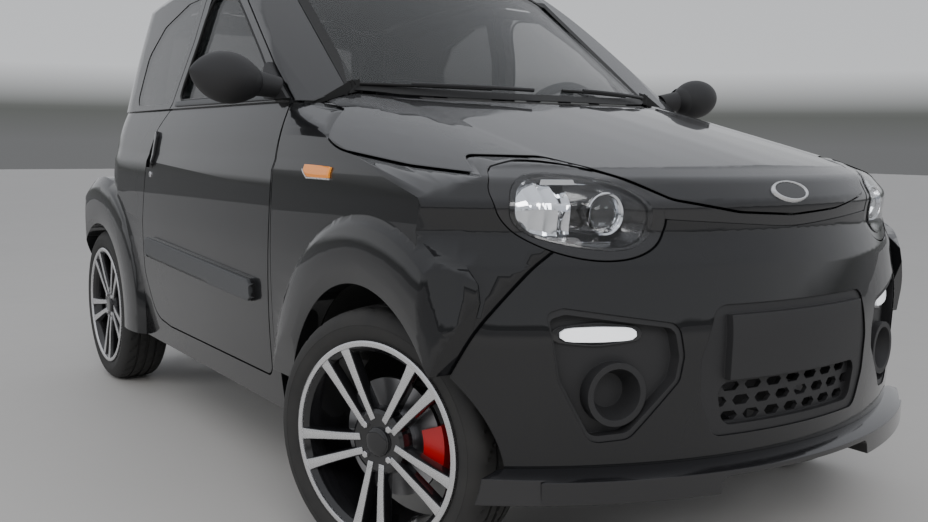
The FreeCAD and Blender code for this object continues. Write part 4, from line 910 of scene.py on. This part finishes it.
def grid_piece(name, rows, thickness, bevel=0.0012, angle=40):
    """Cover over rows of points, with an even thickness and soft edges."""
    count = len(rows[0])
    points = [point for row in rows for point in row]
    faces = [(row * count + place, row * count + place + 1,
              (row + 1) * count + place + 1, (row + 1) * count + place)
             for row in range(len(rows) - 1) for place in range(count - 1)]
    piece = mesh_piece(name, points, faces)
    modify(piece, "SOLIDIFY", thickness=thickness, offset=0)
    edit(piece, ("normals_make_consistent", {"inside": False}))
    modify(piece, "BEVEL", width=bevel, segments=2, limit_method="ANGLE")
    smooth(piece, angle)
    return piece


def side_cover(name, skin, stations, lift, thickness, across=4, along=6):
    """Cover on the right side between (y, low z, high z) stations."""
    rows = []
    for first, second in zip(stations, stations[1:]):
        for step in range(along):
            part = step / along
            rows.append([low + (high - low) * part for low, high in zip(first, second)])
    rows.append(stations[-1])
    made = []
    for y, low, high in rows:
        line = []
        for step in range(across + 1):
            z = low + (high - low) * step / across
            point, _ = skin.from_right(y, z)
            if point is not None:
                line.append(Vector((point.x - lift, y, z)))
        if len(line) == across + 1:
            made.append(line)
    return grid_piece(name, made, thickness)


def both_sides(piece, name, finish, bodies, slot=None):
    """Finish a right piece and its mirror image."""
    left = copied(piece, name + "_left", MIRRORED)
    piece.name = name + "_right"
    finished(piece, finish, bodies[0], slot)
    finished(left, finish, bodies[1], slot)
    return piece, left


def bead(name, path, radius, closed=False, sides=8, flat=1.0):
    """Round bar along a path of points."""
    sections = []
    total = len(path)
    for index, point in enumerate(path):
        before = path[index - 1] if index or closed else point
        after = path[(index + 1) % total] if index < total - 1 or closed else point
        ahead = (after - before).normalized()
        across = ahead.cross(Vector((0, 0, 1)))
        if across.length < 0.1:
            across = ahead.cross(Vector((0, 1, 0)))
        across.normalize()
        up = across.cross(ahead)
        sections.append([point + radius * (across * math.cos(turn) * flat
                                           + up * math.sin(turn))
                         for turn in (math.tau * side / sides for side in range(sides))])
    piece = loft(name, sections, ring=closed)
    smooth(piece, 60)
    return piece


def rounded_path(corners, step=0.02):
    """Closed run of short steps through the corners, with the corners rounded off."""
    path = []
    for first, second in zip(corners, corners[1:] + corners[:1]):
        count = max(1, int(math.dist(first, second) / step))
        path.extend(tuple(low + (high - low) * part / count for low, high in zip(first, second))
                    for part in range(count))
    for _ in range(2):
        path = [tuple((left + 2 * here + right) / 4 for left, here, right in
                      zip(path[index - 1], path[index], path[(index + 1) % len(path)]))
                for index in range(len(path))]
    return path


DOORS = ("door_right", "door_left")
ROOTS = ("root", "root")
# Outline of the door window, y and z.
DOOR_GLASS = [(-0.336, 1.034), (-0.196, 1.136), (0.028, 1.280), (0.132, 1.342),
              (0.312, 1.370), (0.342, 1.346), (0.358, 1.222), (0.430, 1.034)]
# Lamp outline on the nose, x and z of the right one.
BEAN = [(-0.592, 0.797), (-0.578, 0.824), (-0.559, 0.843), (-0.532, 0.853),
        (-0.483, 0.856), (-0.424, 0.848), (-0.375, 0.833), (-0.350, 0.812),
        (-0.340, 0.780), (-0.342, 0.750), (-0.356, 0.728), (-0.385, 0.715),
        (-0.421, 0.711), (-0.466, 0.716), (-0.506, 0.724), (-0.545, 0.734),
        (-0.575, 0.750), (-0.588, 0.772)]


class MICROCAR_OT_side_trim(bpy.types.Operator):
    """Rub strips, belt mouldings, seals, handles, locks, sails and repeaters"""

    bl_idname = "microcar.side_trim"
    bl_label = "Side trim"

    def execute(self, context):
        door = Skin("door_right")
        strip = side_cover("rub_strip", door, [
            (-0.330, 0.512, 0.548), (-0.322, 0.503, 0.558), (0.10, 0.514, 0.575),
            (0.555, 0.529, 0.594), (0.572, 0.540, 0.584)], 0.003, 0.012, 6, 10)
        both_sides(strip, "rub_strip", "satin_trim", DOORS, "satin_trim")
        belt = side_cover("belt_moulding", door, [
            (-0.345, 1.016, 1.033), (0.10, 1.017, 1.034), (0.440, 1.018, 1.034)],
            0.001, 0.008, 2, 12)
        both_sides(belt, "belt_moulding", "satin_trim", DOORS, "satin_trim")
        outline = []
        for y, z in rounded_path(DOOR_GLASS):
            point, _ = door.from_right(y + (0.004 if y > 0 else -0.004), z + 0.004)
            if point is None:
                point = outline[-1] if outline else Vector((-0.70, y, z))
            outline.append(Vector((point.x + 0.001, y, z)))
        for _ in range(4):
            outline = [(outline[index - 1] + 2 * outline[index]
                        + outline[(index + 1) % len(outline)]) / 4
                       for index in range(len(outline))]
        seal = bead("window_seal", outline, 0.0045, closed=True)
        both_sides(seal, "window_seal", "seal", DOORS, "trim")
        fender = Skin("fender_right")
        lamp = side_cover("repeater", fender, [
            (-0.752, 0.832, 0.856), (-0.700, 0.830, 0.858), (-0.640, 0.832, 0.859),
            (-0.618, 0.846, 0.859)], 0.002, 0.007, 3, 6)
        both_sides(lamp, "repeater", "amber", ROOTS, "amber")
        brow = side_cover("repeater_edge", fender, [
            (-0.757, 0.8275, 0.8315), (-0.640, 0.8275, 0.8315), (-0.612, 0.846, 0.850)],
            0.002, 0.008, 2, 8)
        both_sides(brow, "repeater_edge", "machined", ROOTS, "chrome_trim")
        handle = side_cover("door_handle", door, [
            (0.530, 0.835, 0.925), (0.545, 0.822, 0.940), (0.580, 0.835, 0.925)],
            0.004, 0.012, 6, 5)
        both_sides(handle, "door_handle", "gloss_black", DOORS, "trim")
        point, _ = door.from_right(0.556, 0.800)
        lock = turned("door_lock", [(-0.004, 0.0), (-0.004, 0.008), (-0.002, 0.0095),
                                    (0.003, 0.0095), (0.003, 0.0)], 32)
        lock.data.transform(Matrix.Translation(point))
        both_sides(lock, "door_lock", "machined", DOORS, "chrome_trim")
        sail = side_cover("mirror_sail", door, [
            (-0.352, 1.022, 1.040), (-0.300, 1.022, 1.072), (-0.262, 1.022, 1.098)],
            0.001, 0.008, 4, 4)
        both_sides(sail, "mirror_sail", "satin_trim", DOORS, "satin_trim")
        return {"FINISHED"}


class MICROCAR_OT_mirrors(bpy.types.Operator):
    """Glass of the door mirrors"""

    bl_idname = "microcar.mirrors"
    bl_label = "Mirrors"

    def execute(self, context):
        shell = Skin("mirror_right")
        points = []
        for step in range(48):
            turn = math.tau * step / 48
            x = -0.806 + 0.074 * math.cos(turn)
            z = 1.064 + 0.042 * math.sin(turn)
            point, _ = shell.from_rear(x, z)
            points.append(Vector((x, point.y if point else -0.345, z)))
        level = max(point.y for point in points)
        outline = [Vector((point.x, level + 0.0008, point.z)) for point in points]
        glass = mesh_piece("mirror_glass", outline, [tuple(range(48))])
        modify(glass, "SOLIDIFY", thickness=0.002, offset=0)
        both_sides(glass, "mirror_glass", "mirror_face", DOORS, "mirror_face")
        return {"FINISHED"}


def nose_patch(name, skin, outline, lift, rings=7, depth=0.0, inner=0.0):
    """Surface inside an outline, following the nose; depth sinks its middle."""
    middle = [sum(values) / len(outline) for values in zip(*outline)]
    path = rounded_path(outline, 0.012)
    points = []
    levels = [1 - (1 - inner) * ring / rings for ring in range(rings + 1)]
    if inner == 0:
        levels = levels[:-1]
    for level in levels:
        for x, z in path:
            x = middle[0] + (x - middle[0]) * level
            z = middle[1] + (z - middle[1]) * level
            point, _ = skin.from_front(x, z)
            if point is None:
                point = Vector((x, points[-1][1] if points else -1.25, z))
            sunk = depth * (1 - level ** 3)
            points.append(Vector((x, point.y - lift + sunk, z)))
    count = len(path)
    faces = [(ring * count + place, ring * count + (place + 1) % count,
              (ring + 1) * count + (place + 1) % count, (ring + 1) * count + place)
             for ring in range(len(levels) - 1) for place in range(count)]
    if inner == 0:
        last = (len(levels) - 1) * count
        faces.append(tuple(last + place for place in range(count)))
    piece = mesh_piece(name, points, faces)
    edit(piece, ("normals_make_consistent", {"inside": False}))
    return piece


def widened(outline, by):
    """Outline moved outwards from its middle."""
    middle = [sum(values) / len(outline) for values in zip(*outline)]
    made = []
    for x, z in outline:
        away = Vector((x - middle[0], z - middle[1]))
        away = away * (1 + by / away.length)
        made.append((middle[0] + away.x, middle[1] + away.y))
    return made


class MICROCAR_OT_headlamps(bpy.types.Operator):
    """Headlamps with clear lens, reflectors and projector"""

    bl_idname = "microcar.headlamps"
    bl_label = "Headlamps"

    def execute(self, context):
        skin = Skin("headlamps", "nose_band", "fender_right", "front_bumper")
        housing = cad_copy("headlamps", "gloss_black")
        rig.slot(housing, "trim")
        for side in (1, -1):
            path = rounded_path([(side * x, z) for x, z in BEAN], 0.012)
            pocket = loft("pocket", [[Vector((x, y, z)) for x, z in path]
                                     for y in (-1.45, -1.0)])
            cut = housing.modifiers.new("Pocket", "BOOLEAN")
            cut.operation = "DIFFERENCE"
            cut.solver = "EXACT"
            cut.object = pocket
            activate(housing)
            bpy.ops.object.modifier_apply(modifier=cut.name)
            bpy.data.objects.remove(pocket)
        smooth(housing, 28)
        lens = nose_patch("headlamp_lens", skin, BEAN, 0.0012, 9)
        modify(lens, "SOLIDIFY", thickness=0.0025, offset=0)
        smooth(lens, 60)
        both_sides(lens, "headlamp_lens", "lens", ROOTS, "lens")
        bezel = nose_patch("headlamp_bezel", skin, BEAN, 0.0005, 2, inner=0.93)
        modify(bezel, "SOLIDIFY", thickness=0.012, offset=-1)
        smooth(bezel, 40)
        both_sides(bezel, "headlamp_bezel", "gloss_black", ROOTS, "trim")
        bowl = nose_patch("headlamp_back", skin, widened(BEAN, -0.004), -0.012, 8, 0.050)
        modify(bowl, "SOLIDIFY", thickness=0.002, offset=0)
        smooth(bowl, 30)
        both_sides(bowl, "headlamp_back", "gloss_black", ROOTS, "trim")
        facets = []
        rows = []
        for index in range(29):
            x = -0.580 + 0.0041 * index
            facet = index % 7
            low = 0.752 - 0.0012 * index
            high = 0.815 + 0.030 * math.sin(math.pi * min(1, index / 20) / 2)
            row = []
            for step in range(11):
                z = low + (high - low) * step / 10
                point, _ = skin.from_front(x, z)
                bulge = 0.0035 * math.sin(math.pi * facet / 7) * (1 if step % 5 else 0.4)
                depth = 0.014 + 0.030 * (index / 28) ** 2 + 0.010 * (step / 10 - 0.5) ** 2
                row.append(Vector((x, point.y + depth + bulge, z)))
            rows.append(row)
        facets.append(grid_piece("facet", rows, 0.002, 0.0004, 16))
        for index, (x, z, wide, high) in enumerate(((-0.440, 0.722, 0.060, 0.010),
                                                    (-0.470, 0.838, 0.080, 0.010))):
            rows = []
            for step in range(9):
                u = x - wide / 2 + wide * step / 8
                point, _ = skin.from_front(u, z)
                rows.append([Vector((u, point.y + 0.022, z - high / 2)),
                             Vector((u, point.y + 0.018, z + high / 2))])
            facets.append(grid_piece("facet", rows, 0.002, 0.0005, 20))
        reflector = joined(facets, "headlamp_reflector")
        both_sides(reflector, "headlamp_reflector", "bright", ROOTS, "lamp_bright")
        point, _ = skin.from_front(-0.420, 0.780)
        centre = Vector((-0.420, point.y + 0.024, 0.780))
        aim = Vector((-0.12, -1, -0.02)).normalized()
        turn = Matrix.Translation(centre) @ aim.to_track_quat("X", "Z").to_matrix().to_4x4()
        tube = turned("projector_ring", [
            (-0.012, 0.034), (0.004, 0.040), (0.010, 0.0415), (0.012, 0.040),
            (0.010, 0.036), (-0.002, 0.034), (-0.012, 0.030), (-0.012, 0.034)], 64)
        smooth(tube, 35)
        tube.data.transform(turn)
        both_sides(tube, "projector_ring", "bright", ROOTS, "lamp_bright")
        ball = turned("projector_lens", [
            (0.014, 0.0), (0.0130, 0.010), (0.0100, 0.019), (0.004, 0.027),
            (-0.004, 0.031), (-0.008, 0.0)], 48)
        smooth(ball, 60)
        ball.data.transform(turn)
        both_sides(ball, "projector_lens", "lens", ROOTS, "lens")
        return {"FINISHED"}


class MICROCAR_OT_nose(bpy.types.Operator):
    """Running lights and the bare badge"""

    bl_idname = "microcar.nose"
    bl_label = "Nose"

    def execute(self, context):
        pods = Skin("fog_pods", "front_bumper")
        bar = [(-0.521, 0.542), (-0.521, 0.566), (-0.450, 0.569), (-0.376, 0.566),
               (-0.374, 0.543), (-0.450, 0.540)]
        light = nose_patch("running_light", pods, bar, 0.004, 4)
        modify(light, "SOLIDIFY", thickness=0.010, offset=0)
        smooth(light, 50)
        both_sides(light, "running_light", "light_bar", ROOTS, "light_bar")
        frame = nose_patch("running_light_frame", pods, widened(bar, 0.010), 0.001, 2,
                           inner=0.86)
        modify(frame, "SOLIDIFY", thickness=0.008, offset=0)
        smooth(frame, 40)
        both_sides(frame, "running_light_frame", "gloss_black", ROOTS, "trim")
        hood = Skin("hood", "nose_band")
        point, normal = hood.from_front(0.0, 0.819)
        turn = Matrix.Translation(point) @ normal.to_track_quat("X", "Z").to_matrix().to_4x4()
        for name, finish, profile in (
                ("badge_face", "gloss_black", [(0.0045, 0.0), (0.0040, 0.021),
                                                    (-0.004, 0.022), (-0.004, 0.0)]),
                ("badge_ring", "machined", [(-0.004, 0.0215), (0.0045, 0.0215),
                                                 (0.0060, 0.0225), (0.0060, 0.0245),
                                                 (0.0040, 0.0258), (-0.004, 0.0258),
                                                 (-0.004, 0.0215)])):
            piece = turned(name, profile, 96)
            smooth(piece, 40)
            stretch = Matrix.Diagonal((1, 2.1, 1, 1))
            piece.data.transform(turn @ stretch)
            edit(piece, ("normals_make_consistent", {"inside": False}))
            finished(piece, finish, "hood", "chrome_trim")
        return {"FINISHED"}


class MICROCAR_OT_screen_trim(bpy.types.Operator):
    """Black edge of the windscreen and its wipers"""

    bl_idname = "microcar.screen_trim"
    bl_label = "Screen trim"

    def execute(self, context):
        for node, direction, wide in (("windscreen", Vector((0, -0.8, 0.6)), 0.030),
                                      ("tailgate_glass", Vector((0, 1, 0.2)), 0.026)):
            edge = facing(node, node + "_edge", direction.normalized(), 0.45)
            activate(edge)
            bpy.ops.object.mode_set(mode="EDIT")
            bpy.ops.mesh.select_all(action="SELECT")
            bpy.ops.mesh.inset(thickness=wide, depth=0, use_boundary=True)
            bpy.ops.mesh.delete(type="FACE")
            bpy.ops.object.mode_set(mode="OBJECT")
            edge.data.transform(Matrix.Translation(0.0012 * direction.normalized()))
            modify(edge, "SOLIDIFY", thickness=0.0016, offset=0)
            smooth(edge, 40)
            finished(edge, "seal", BODY_OF[node], "trim")
        screen = Skin("windscreen")
        for name, pivot, tip in (("wiper_right", (-0.10, 1.030), (-0.52, 1.060)),
                                 ("wiper_left", (0.46, 1.030), (0.02, 1.052))):
            path = []
            for step in range(13):
                part = step / 12
                x = pivot[0] + (tip[0] - pivot[0]) * part
                z = pivot[1] + (tip[1] - pivot[1]) * part
                point, normal = screen.from_front(x, z)
                if point is not None:
                    path.append(point + normal * (0.006 + 0.016 * (1 - part)))
            arm = bead(name + "_arm", path[:9], 0.0050)
            finished(arm, "trim", "root", "trim")
            blade = bead(name + "_blade", [point - Vector((0, 0, 0.004))
                                           for point in path[3:]], 0.0042)
            finished(blade, "seal", "root", "trim")
        return {"FINISHED"}


def cushion(name, box, crown, fill=0.7):
    """Stuffed block: rounded, crowned form with sewn channels across it."""
    low, high = box
    bpy.ops.object.select_all(action="DESELECT")
    bpy.ops.mesh.primitive_cube_add(size=1, location=(0, 0, 0))
    piece = bpy.context.object
    piece.name = name
    size = Vector(high) - Vector(low)
    middle = (Vector(high) + Vector(low)) / 2
    edit(piece, ("subdivide", {"number_cuts": 15}))
    for vertex in piece.data.vertices:
        place = vertex.co.copy()
        shape = Vector([value * 2 for value in place])
        sphere = max(abs(value) for value in shape) / max(shape.length, 0.001)
        soft = 1 - 0.30 * (1 - sphere) if shape.length > 0 else 1
        vertex.co = middle + Vector([place[axis] * size[axis] * soft for axis in range(3)])
        top = max(0.0, shape.z)
        swell = (1 - shape.x ** 2) * (1 - shape.y ** 2)
        seam = math.exp(-((abs(shape.x) - 0.62) / 0.06) ** 2) if abs(shape.y) < 0.97 else 0
        vertex.co.z += top * (crown * swell - 0.008 * seam)
    modify(piece, "SUBSURF", levels=1, render_levels=1)
    smooth(piece, 60)
    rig.padded(piece, fill=fill)
    return piece


class MICROCAR_OT_seats(bpy.types.Operator):
    """Padded seats"""

    bl_idname = "microcar.seats"
    bl_label = "Seats"

    def execute(self, context):
        turn = (Matrix.Translation((0, 0.4103, 0.470))
                @ Matrix.Rotation(math.radians(-18), 4, "X"))
        for side, name in ((-1, "right"), (1, "left")):
            x = side * 0.310
            pad = cushion("seat_pad_" + name, ((x - 0.232, -0.062, 0.428),
                                               (x + 0.232, 0.412, 0.560)), 0.020)
            finished(pad, "seat", "root", "seat", ("seat_cushions",))
            for part, low, high in (("back", (-0.226, -0.004, 0.0), (0.226, 0.112, 0.560)),
                                    ("head", (-0.118, 0.008, 0.578), (0.118, 0.094, 0.728))):
                upright = cushion("seat_" + part + "_" + name,
                                  ((low[0], low[2], -high[1]), (high[0], high[2], -low[1])),
                                  0.016 if part == "back" else 0.008)
                flip = Matrix(((1, 0, 0, 0), (0, 0, -1, 0), (0, 1, 0, 0), (0, 0, 0, 1)))
                upright.data.transform(Matrix.Translation((x, 0, 0)) @ turn @ flip)
                finished(upright, "seat", "root", "seat", ("seat_backs",))
            for post in (-0.055, 0.055):
                bar = bead("head_post_" + name, [
                    Vector((x + post, 0, 0)) + turn @ Vector((0, 0.05, rise))
                    for rise in (0.53, 0.56, 0.60)], 0.006)
                finished(bar, "machined", "root", "chrome_trim")
        return {"FINISHED"}


def rear_patch(name, skin, outline, lift, thickness, rings=5):
    """Cover inside an outline of x and z on the tail."""
    middle = [sum(values) / len(outline) for values in zip(*outline)]
    path = rounded_path(outline, 0.015)
    points = []
    for ring in range(rings):
        level = 1 - ring / rings
        for x, z in path:
            x = middle[0] + (x - middle[0]) * level
            z = middle[1] + (z - middle[1]) * level
            point, _ = skin.from_rear(x, z)
            points.append(Vector((x, (point.y if point else 1.40) + lift, z)))
    count = len(path)
    faces = [(ring * count + place, ring * count + (place + 1) % count,
              (ring + 1) * count + (place + 1) % count, (ring + 1) * count + place)
             for ring in range(rings - 1) for place in range(count)]
    faces.append(tuple((rings - 1) * count + place for place in range(count)))
    piece = mesh_piece(name, points, faces)
    edit(piece, ("normals_make_consistent", {"inside": False}))
    modify(piece, "SOLIDIFY", thickness=thickness, offset=0)
    smooth(piece, 45)
    return piece


class MICROCAR_OT_rear(bpy.types.Operator):
    """Lamp chambers, handle, blank plate panel and reflectors at the rear"""

    bl_idname = "microcar.rear"
    bl_label = "Rear"

    def execute(self, context):
        lamps = Skin("tail_lamps")
        for name, low, high, finish, slot in (
                ("tail_lamp_clear", 0.842, 0.866, "bright", "lamp_bright"),
                ("tail_lamp_amber", 0.812, 0.838, "amber", "amber")):
            outline = [(-0.640, low), (-0.640, high), (-0.560, high), (-0.500, high),
                       (-0.500, low), (-0.560, low)]
            chamber = rear_patch(name, lamps, outline, 0.0005, 0.004)
            both_sides(chamber, name, finish, ROOTS, slot)
        gate = Skin("tailgate")
        handle = rear_patch("tailgate_handle", gate, [
            (-0.110, 0.872), (-0.110, 0.898), (0, 0.902), (0.110, 0.898), (0.110, 0.872),
            (0, 0.868)], 0.004, 0.012)
        finished(handle, "trim", "tailgate", "trim")
        bumper = Skin("rear_bumper")
        plate = rear_patch("rear_plate_panel", bumper, [
            (-0.265, 0.470), (-0.265, 0.590), (0, 0.592), (0.265, 0.590), (0.265, 0.470),
            (0, 0.468)], 0.001, 0.006)
        finished(plate, "trim", "root", "trim")
        mark = rear_patch("rear_reflector", bumper, [
            (-0.560, 0.395), (-0.560, 0.425), (-0.500, 0.428), (-0.440, 0.425),
            (-0.440, 0.395), (-0.500, 0.392)], 0.001, 0.006)
        both_sides(mark, "rear_reflector", "red_lens", ROOTS, "red_lens")
        pipe = turned("tail_pipe", [(-0.06, 0.019), (0.06, 0.019), (0.06, 0.022),
                                    (-0.06, 0.022), (-0.06, 0.019)], 48)
        smooth(pipe, 35)
        pipe.data.transform(Matrix.Translation((0.36, 1.36, 0.262))
                            @ Matrix.Rotation(math.pi / 2, 4, "Z"))
        finished(pipe, "machined", "root", "chrome_trim")
        return {"FINISHED"}


class MICROCAR_OT_cabin(bpy.types.Operator):
    """Air vents of the dashboard"""

    bl_idname = "microcar.cabin"
    bl_label = "Cabin"

    def execute(self, context):
        dash = Skin("dashboard")
        for x in (-0.42, -0.12, 0.12):
            point, _ = dash.from_rear(x, 0.90)
            if point is None:
                continue
            ring = turned("dash_vent", [(-0.004, 0.0), (-0.004, 0.030), (0.004, 0.036),
                                        (0.009, 0.034), (0.009, 0.028), (0.002, 0.026),
                                        (0.002, 0.0)], 40)
            smooth(ring, 35)
            ring.data.transform(Matrix.Translation(point)
                                @ Matrix.Rotation(math.pi / 2, 4, "Z"))
            finished(ring, "gloss_black", "root", "trim")
        return {"FINISHED"}


class MICROCAR_OT_stage(bpy.types.Operator):
    """Floor, lights and camera"""

    bl_idname = "microcar.stage"
    bl_label = "Stage"

    def execute(self, context):
        settings = context.scene.microcar_stage
        bpy.ops.object.select_all(action="DESELECT")
        bpy.ops.mesh.primitive_plane_add(size=60, location=(0, 0, -0.0005))
        floor = context.object
        floor.name = "stage_floor"
        floor.data.materials.append(finish_of("floor"))
        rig.stage(floor)
        world = bpy.data.worlds.new("studio")
        world.use_nodes = True
        context.scene.world = world
        tree = world.node_tree
        ground = tree.nodes["Background"]
        coords = tree.nodes.new("ShaderNodeTexCoord")
        split = tree.nodes.new("ShaderNodeSeparateXYZ")
        ramp = tree.nodes.new("ShaderNodeValToRGB")
        tree.links.new(coords.outputs["Generated"], split.inputs[0])
        tree.links.new(split.outputs["Z"], ramp.inputs[0])
        tree.links.new(ramp.outputs[0], ground.inputs[0])
        stops = ramp.color_ramp.elements
        stops[0].position = SKY[0][0]
        stops[0].color = (*SKY[0][1], 1)
        stops[1].position = SKY[-1][0]
        stops[1].color = (*SKY[-1][1], 1)
        for height, tone in SKY[1:-1]:
            stops.new(height).color = (*tone, 1)
        ground.inputs[1].default_value = settings.sky
        for name, place, aim, wide, high, power, tone in LIGHTS:
            lamp = bpy.data.lights.new(name, "AREA")
            lamp.shape = "RECTANGLE"
            lamp.size = wide
            lamp.size_y = high
            lamp.energy = power
            lamp.color = tone
            item = bpy.data.objects.new(name, lamp)
            item.visible_glossy = False
            context.scene.collection.objects.link(item)
            item.location = place
            item.rotation_euler = (Vector(aim) - Vector(place)).to_track_quat("-Z", "Y").to_euler()
        camera = bpy.data.cameras.new("photo_camera")
        camera.sensor_width = 36
        camera.lens = settings.focal
        item = bpy.data.objects.new("photo_camera", camera)
        context.scene.collection.objects.link(item)
        yaw, pitch, roll = CAMERA_TURN
        ahead = Vector((math.sin(yaw) * math.cos(pitch), math.cos(yaw) * math.cos(pitch),
                        -math.sin(pitch)))
        right = Vector((math.cos(yaw), -math.sin(yaw), 0))
        down = ahead.cross(right)
        across = right * math.cos(roll) + down * math.sin(roll)
        below = down * math.cos(roll) - right * math.sin(roll)
        matrix = Matrix((across, -below, -ahead)).transposed().to_4x4()
        matrix.translation = CAMERA_PLACE
        item.matrix_world = matrix
        context.scene.camera = item
        return {"FINISHED"}


# Surrounding light: height of the direction and colour there.
SKY = ((0.0, (0.26, 0.265, 0.27)), (0.03, (0.20, 0.21, 0.20)), (0.07, (1.15, 1.17, 1.20)),
       (0.35, (1.0, 1.02, 1.07)), (0.7, (1.2, 1.23, 1.3)), (1.0, (1.4, 1.43, 1.5)))
CAMERA_PLACE = Vector((-1.692, -2.718, 0.910))
CAMERA_TURN = (0.595, 0.118, -0.010)
# Lights: name, place, aim, width, height, power, colour.
LIGHTS = (
    ("key_light", (-3.2, -5.4, 4.2), (-0.2, -0.6, 0.5), 4.2, 2.2, 220, (1, 0.98, 0.96)),
    ("right_light", (-6.2, 0.6, 3.0), (0, 0.2, 0.7), 4.2, 1.6, 120, (0.96, 0.98, 1)),
    ("front_light", (2.2, -6.4, 3.2), (0.2, -1.0, 0.6), 2.6, 1.4, 70, (0.96, 0.98, 1)),
)

OPERATORS = (MICROCAR_OT_stage, MICROCAR_OT_panels, MICROCAR_OT_plain, MICROCAR_OT_glazing,
             MICROCAR_OT_headlamps, MICROCAR_OT_wheels, MICROCAR_OT_side_trim,
             MICROCAR_OT_mirrors,
             MICROCAR_OT_nose, MICROCAR_OT_screen_trim, MICROCAR_OT_seats,
             MICROCAR_OT_rear, MICROCAR_OT_cabin)
GROUPS = (("microcar_paint", PaintSettings), ("microcar_wheels", WheelSettings),
          ("microcar_stage", StageSettings))


class MICROCAR_PT_pieces(bpy.types.Panel):
    """Sizes, colours and pieces of the microcar"""

    bl_idname = "MICROCAR_PT_pieces"
    bl_label = "Microcar"
    bl_space_type = "VIEW_3D"
    bl_region_type = "UI"
    bl_category = "Microcar"

    def draw(self, context):
        for name, group in GROUPS:
            box = self.layout.box()
            box.label(text=group.__doc__)
            for prop in group.__annotations__:
                box.prop(getattr(context.scene, name), prop)
        for operator in OPERATORS:
            self.layout.operator(operator.bl_idname)


def register():
    for name, group in GROUPS:
        bpy.utils.register_class(group)
        setattr(bpy.types.Scene, name, bpy.props.PointerProperty(type=group))
    for operator in OPERATORS:
        bpy.utils.register_class(operator)
    bpy.utils.register_class(MICROCAR_PT_pieces)


def unregister():
    bpy.utils.unregister_class(MICROCAR_PT_pieces)
    for operator in reversed(OPERATORS):
        bpy.utils.unregister_class(operator)
    for name, group in reversed(GROUPS):
        delattr(bpy.types.Scene, name)
        bpy.utils.unregister_class(group)


def main():
    """Build every piece in order and note the sizes."""
    register()
    for operator in OPERATORS:
        family, action = operator.bl_idname.split(".")
        getattr(getattr(bpy.ops, family), action)()
    boxes = {"cad": [list(corner) for corner in CAD_BOX],
             "visual": [list(corner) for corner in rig.bounds()]}
    with open("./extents.json", "w") as out:
        json.dump(boxes, out)


if __name__ == "__main__":
    main()
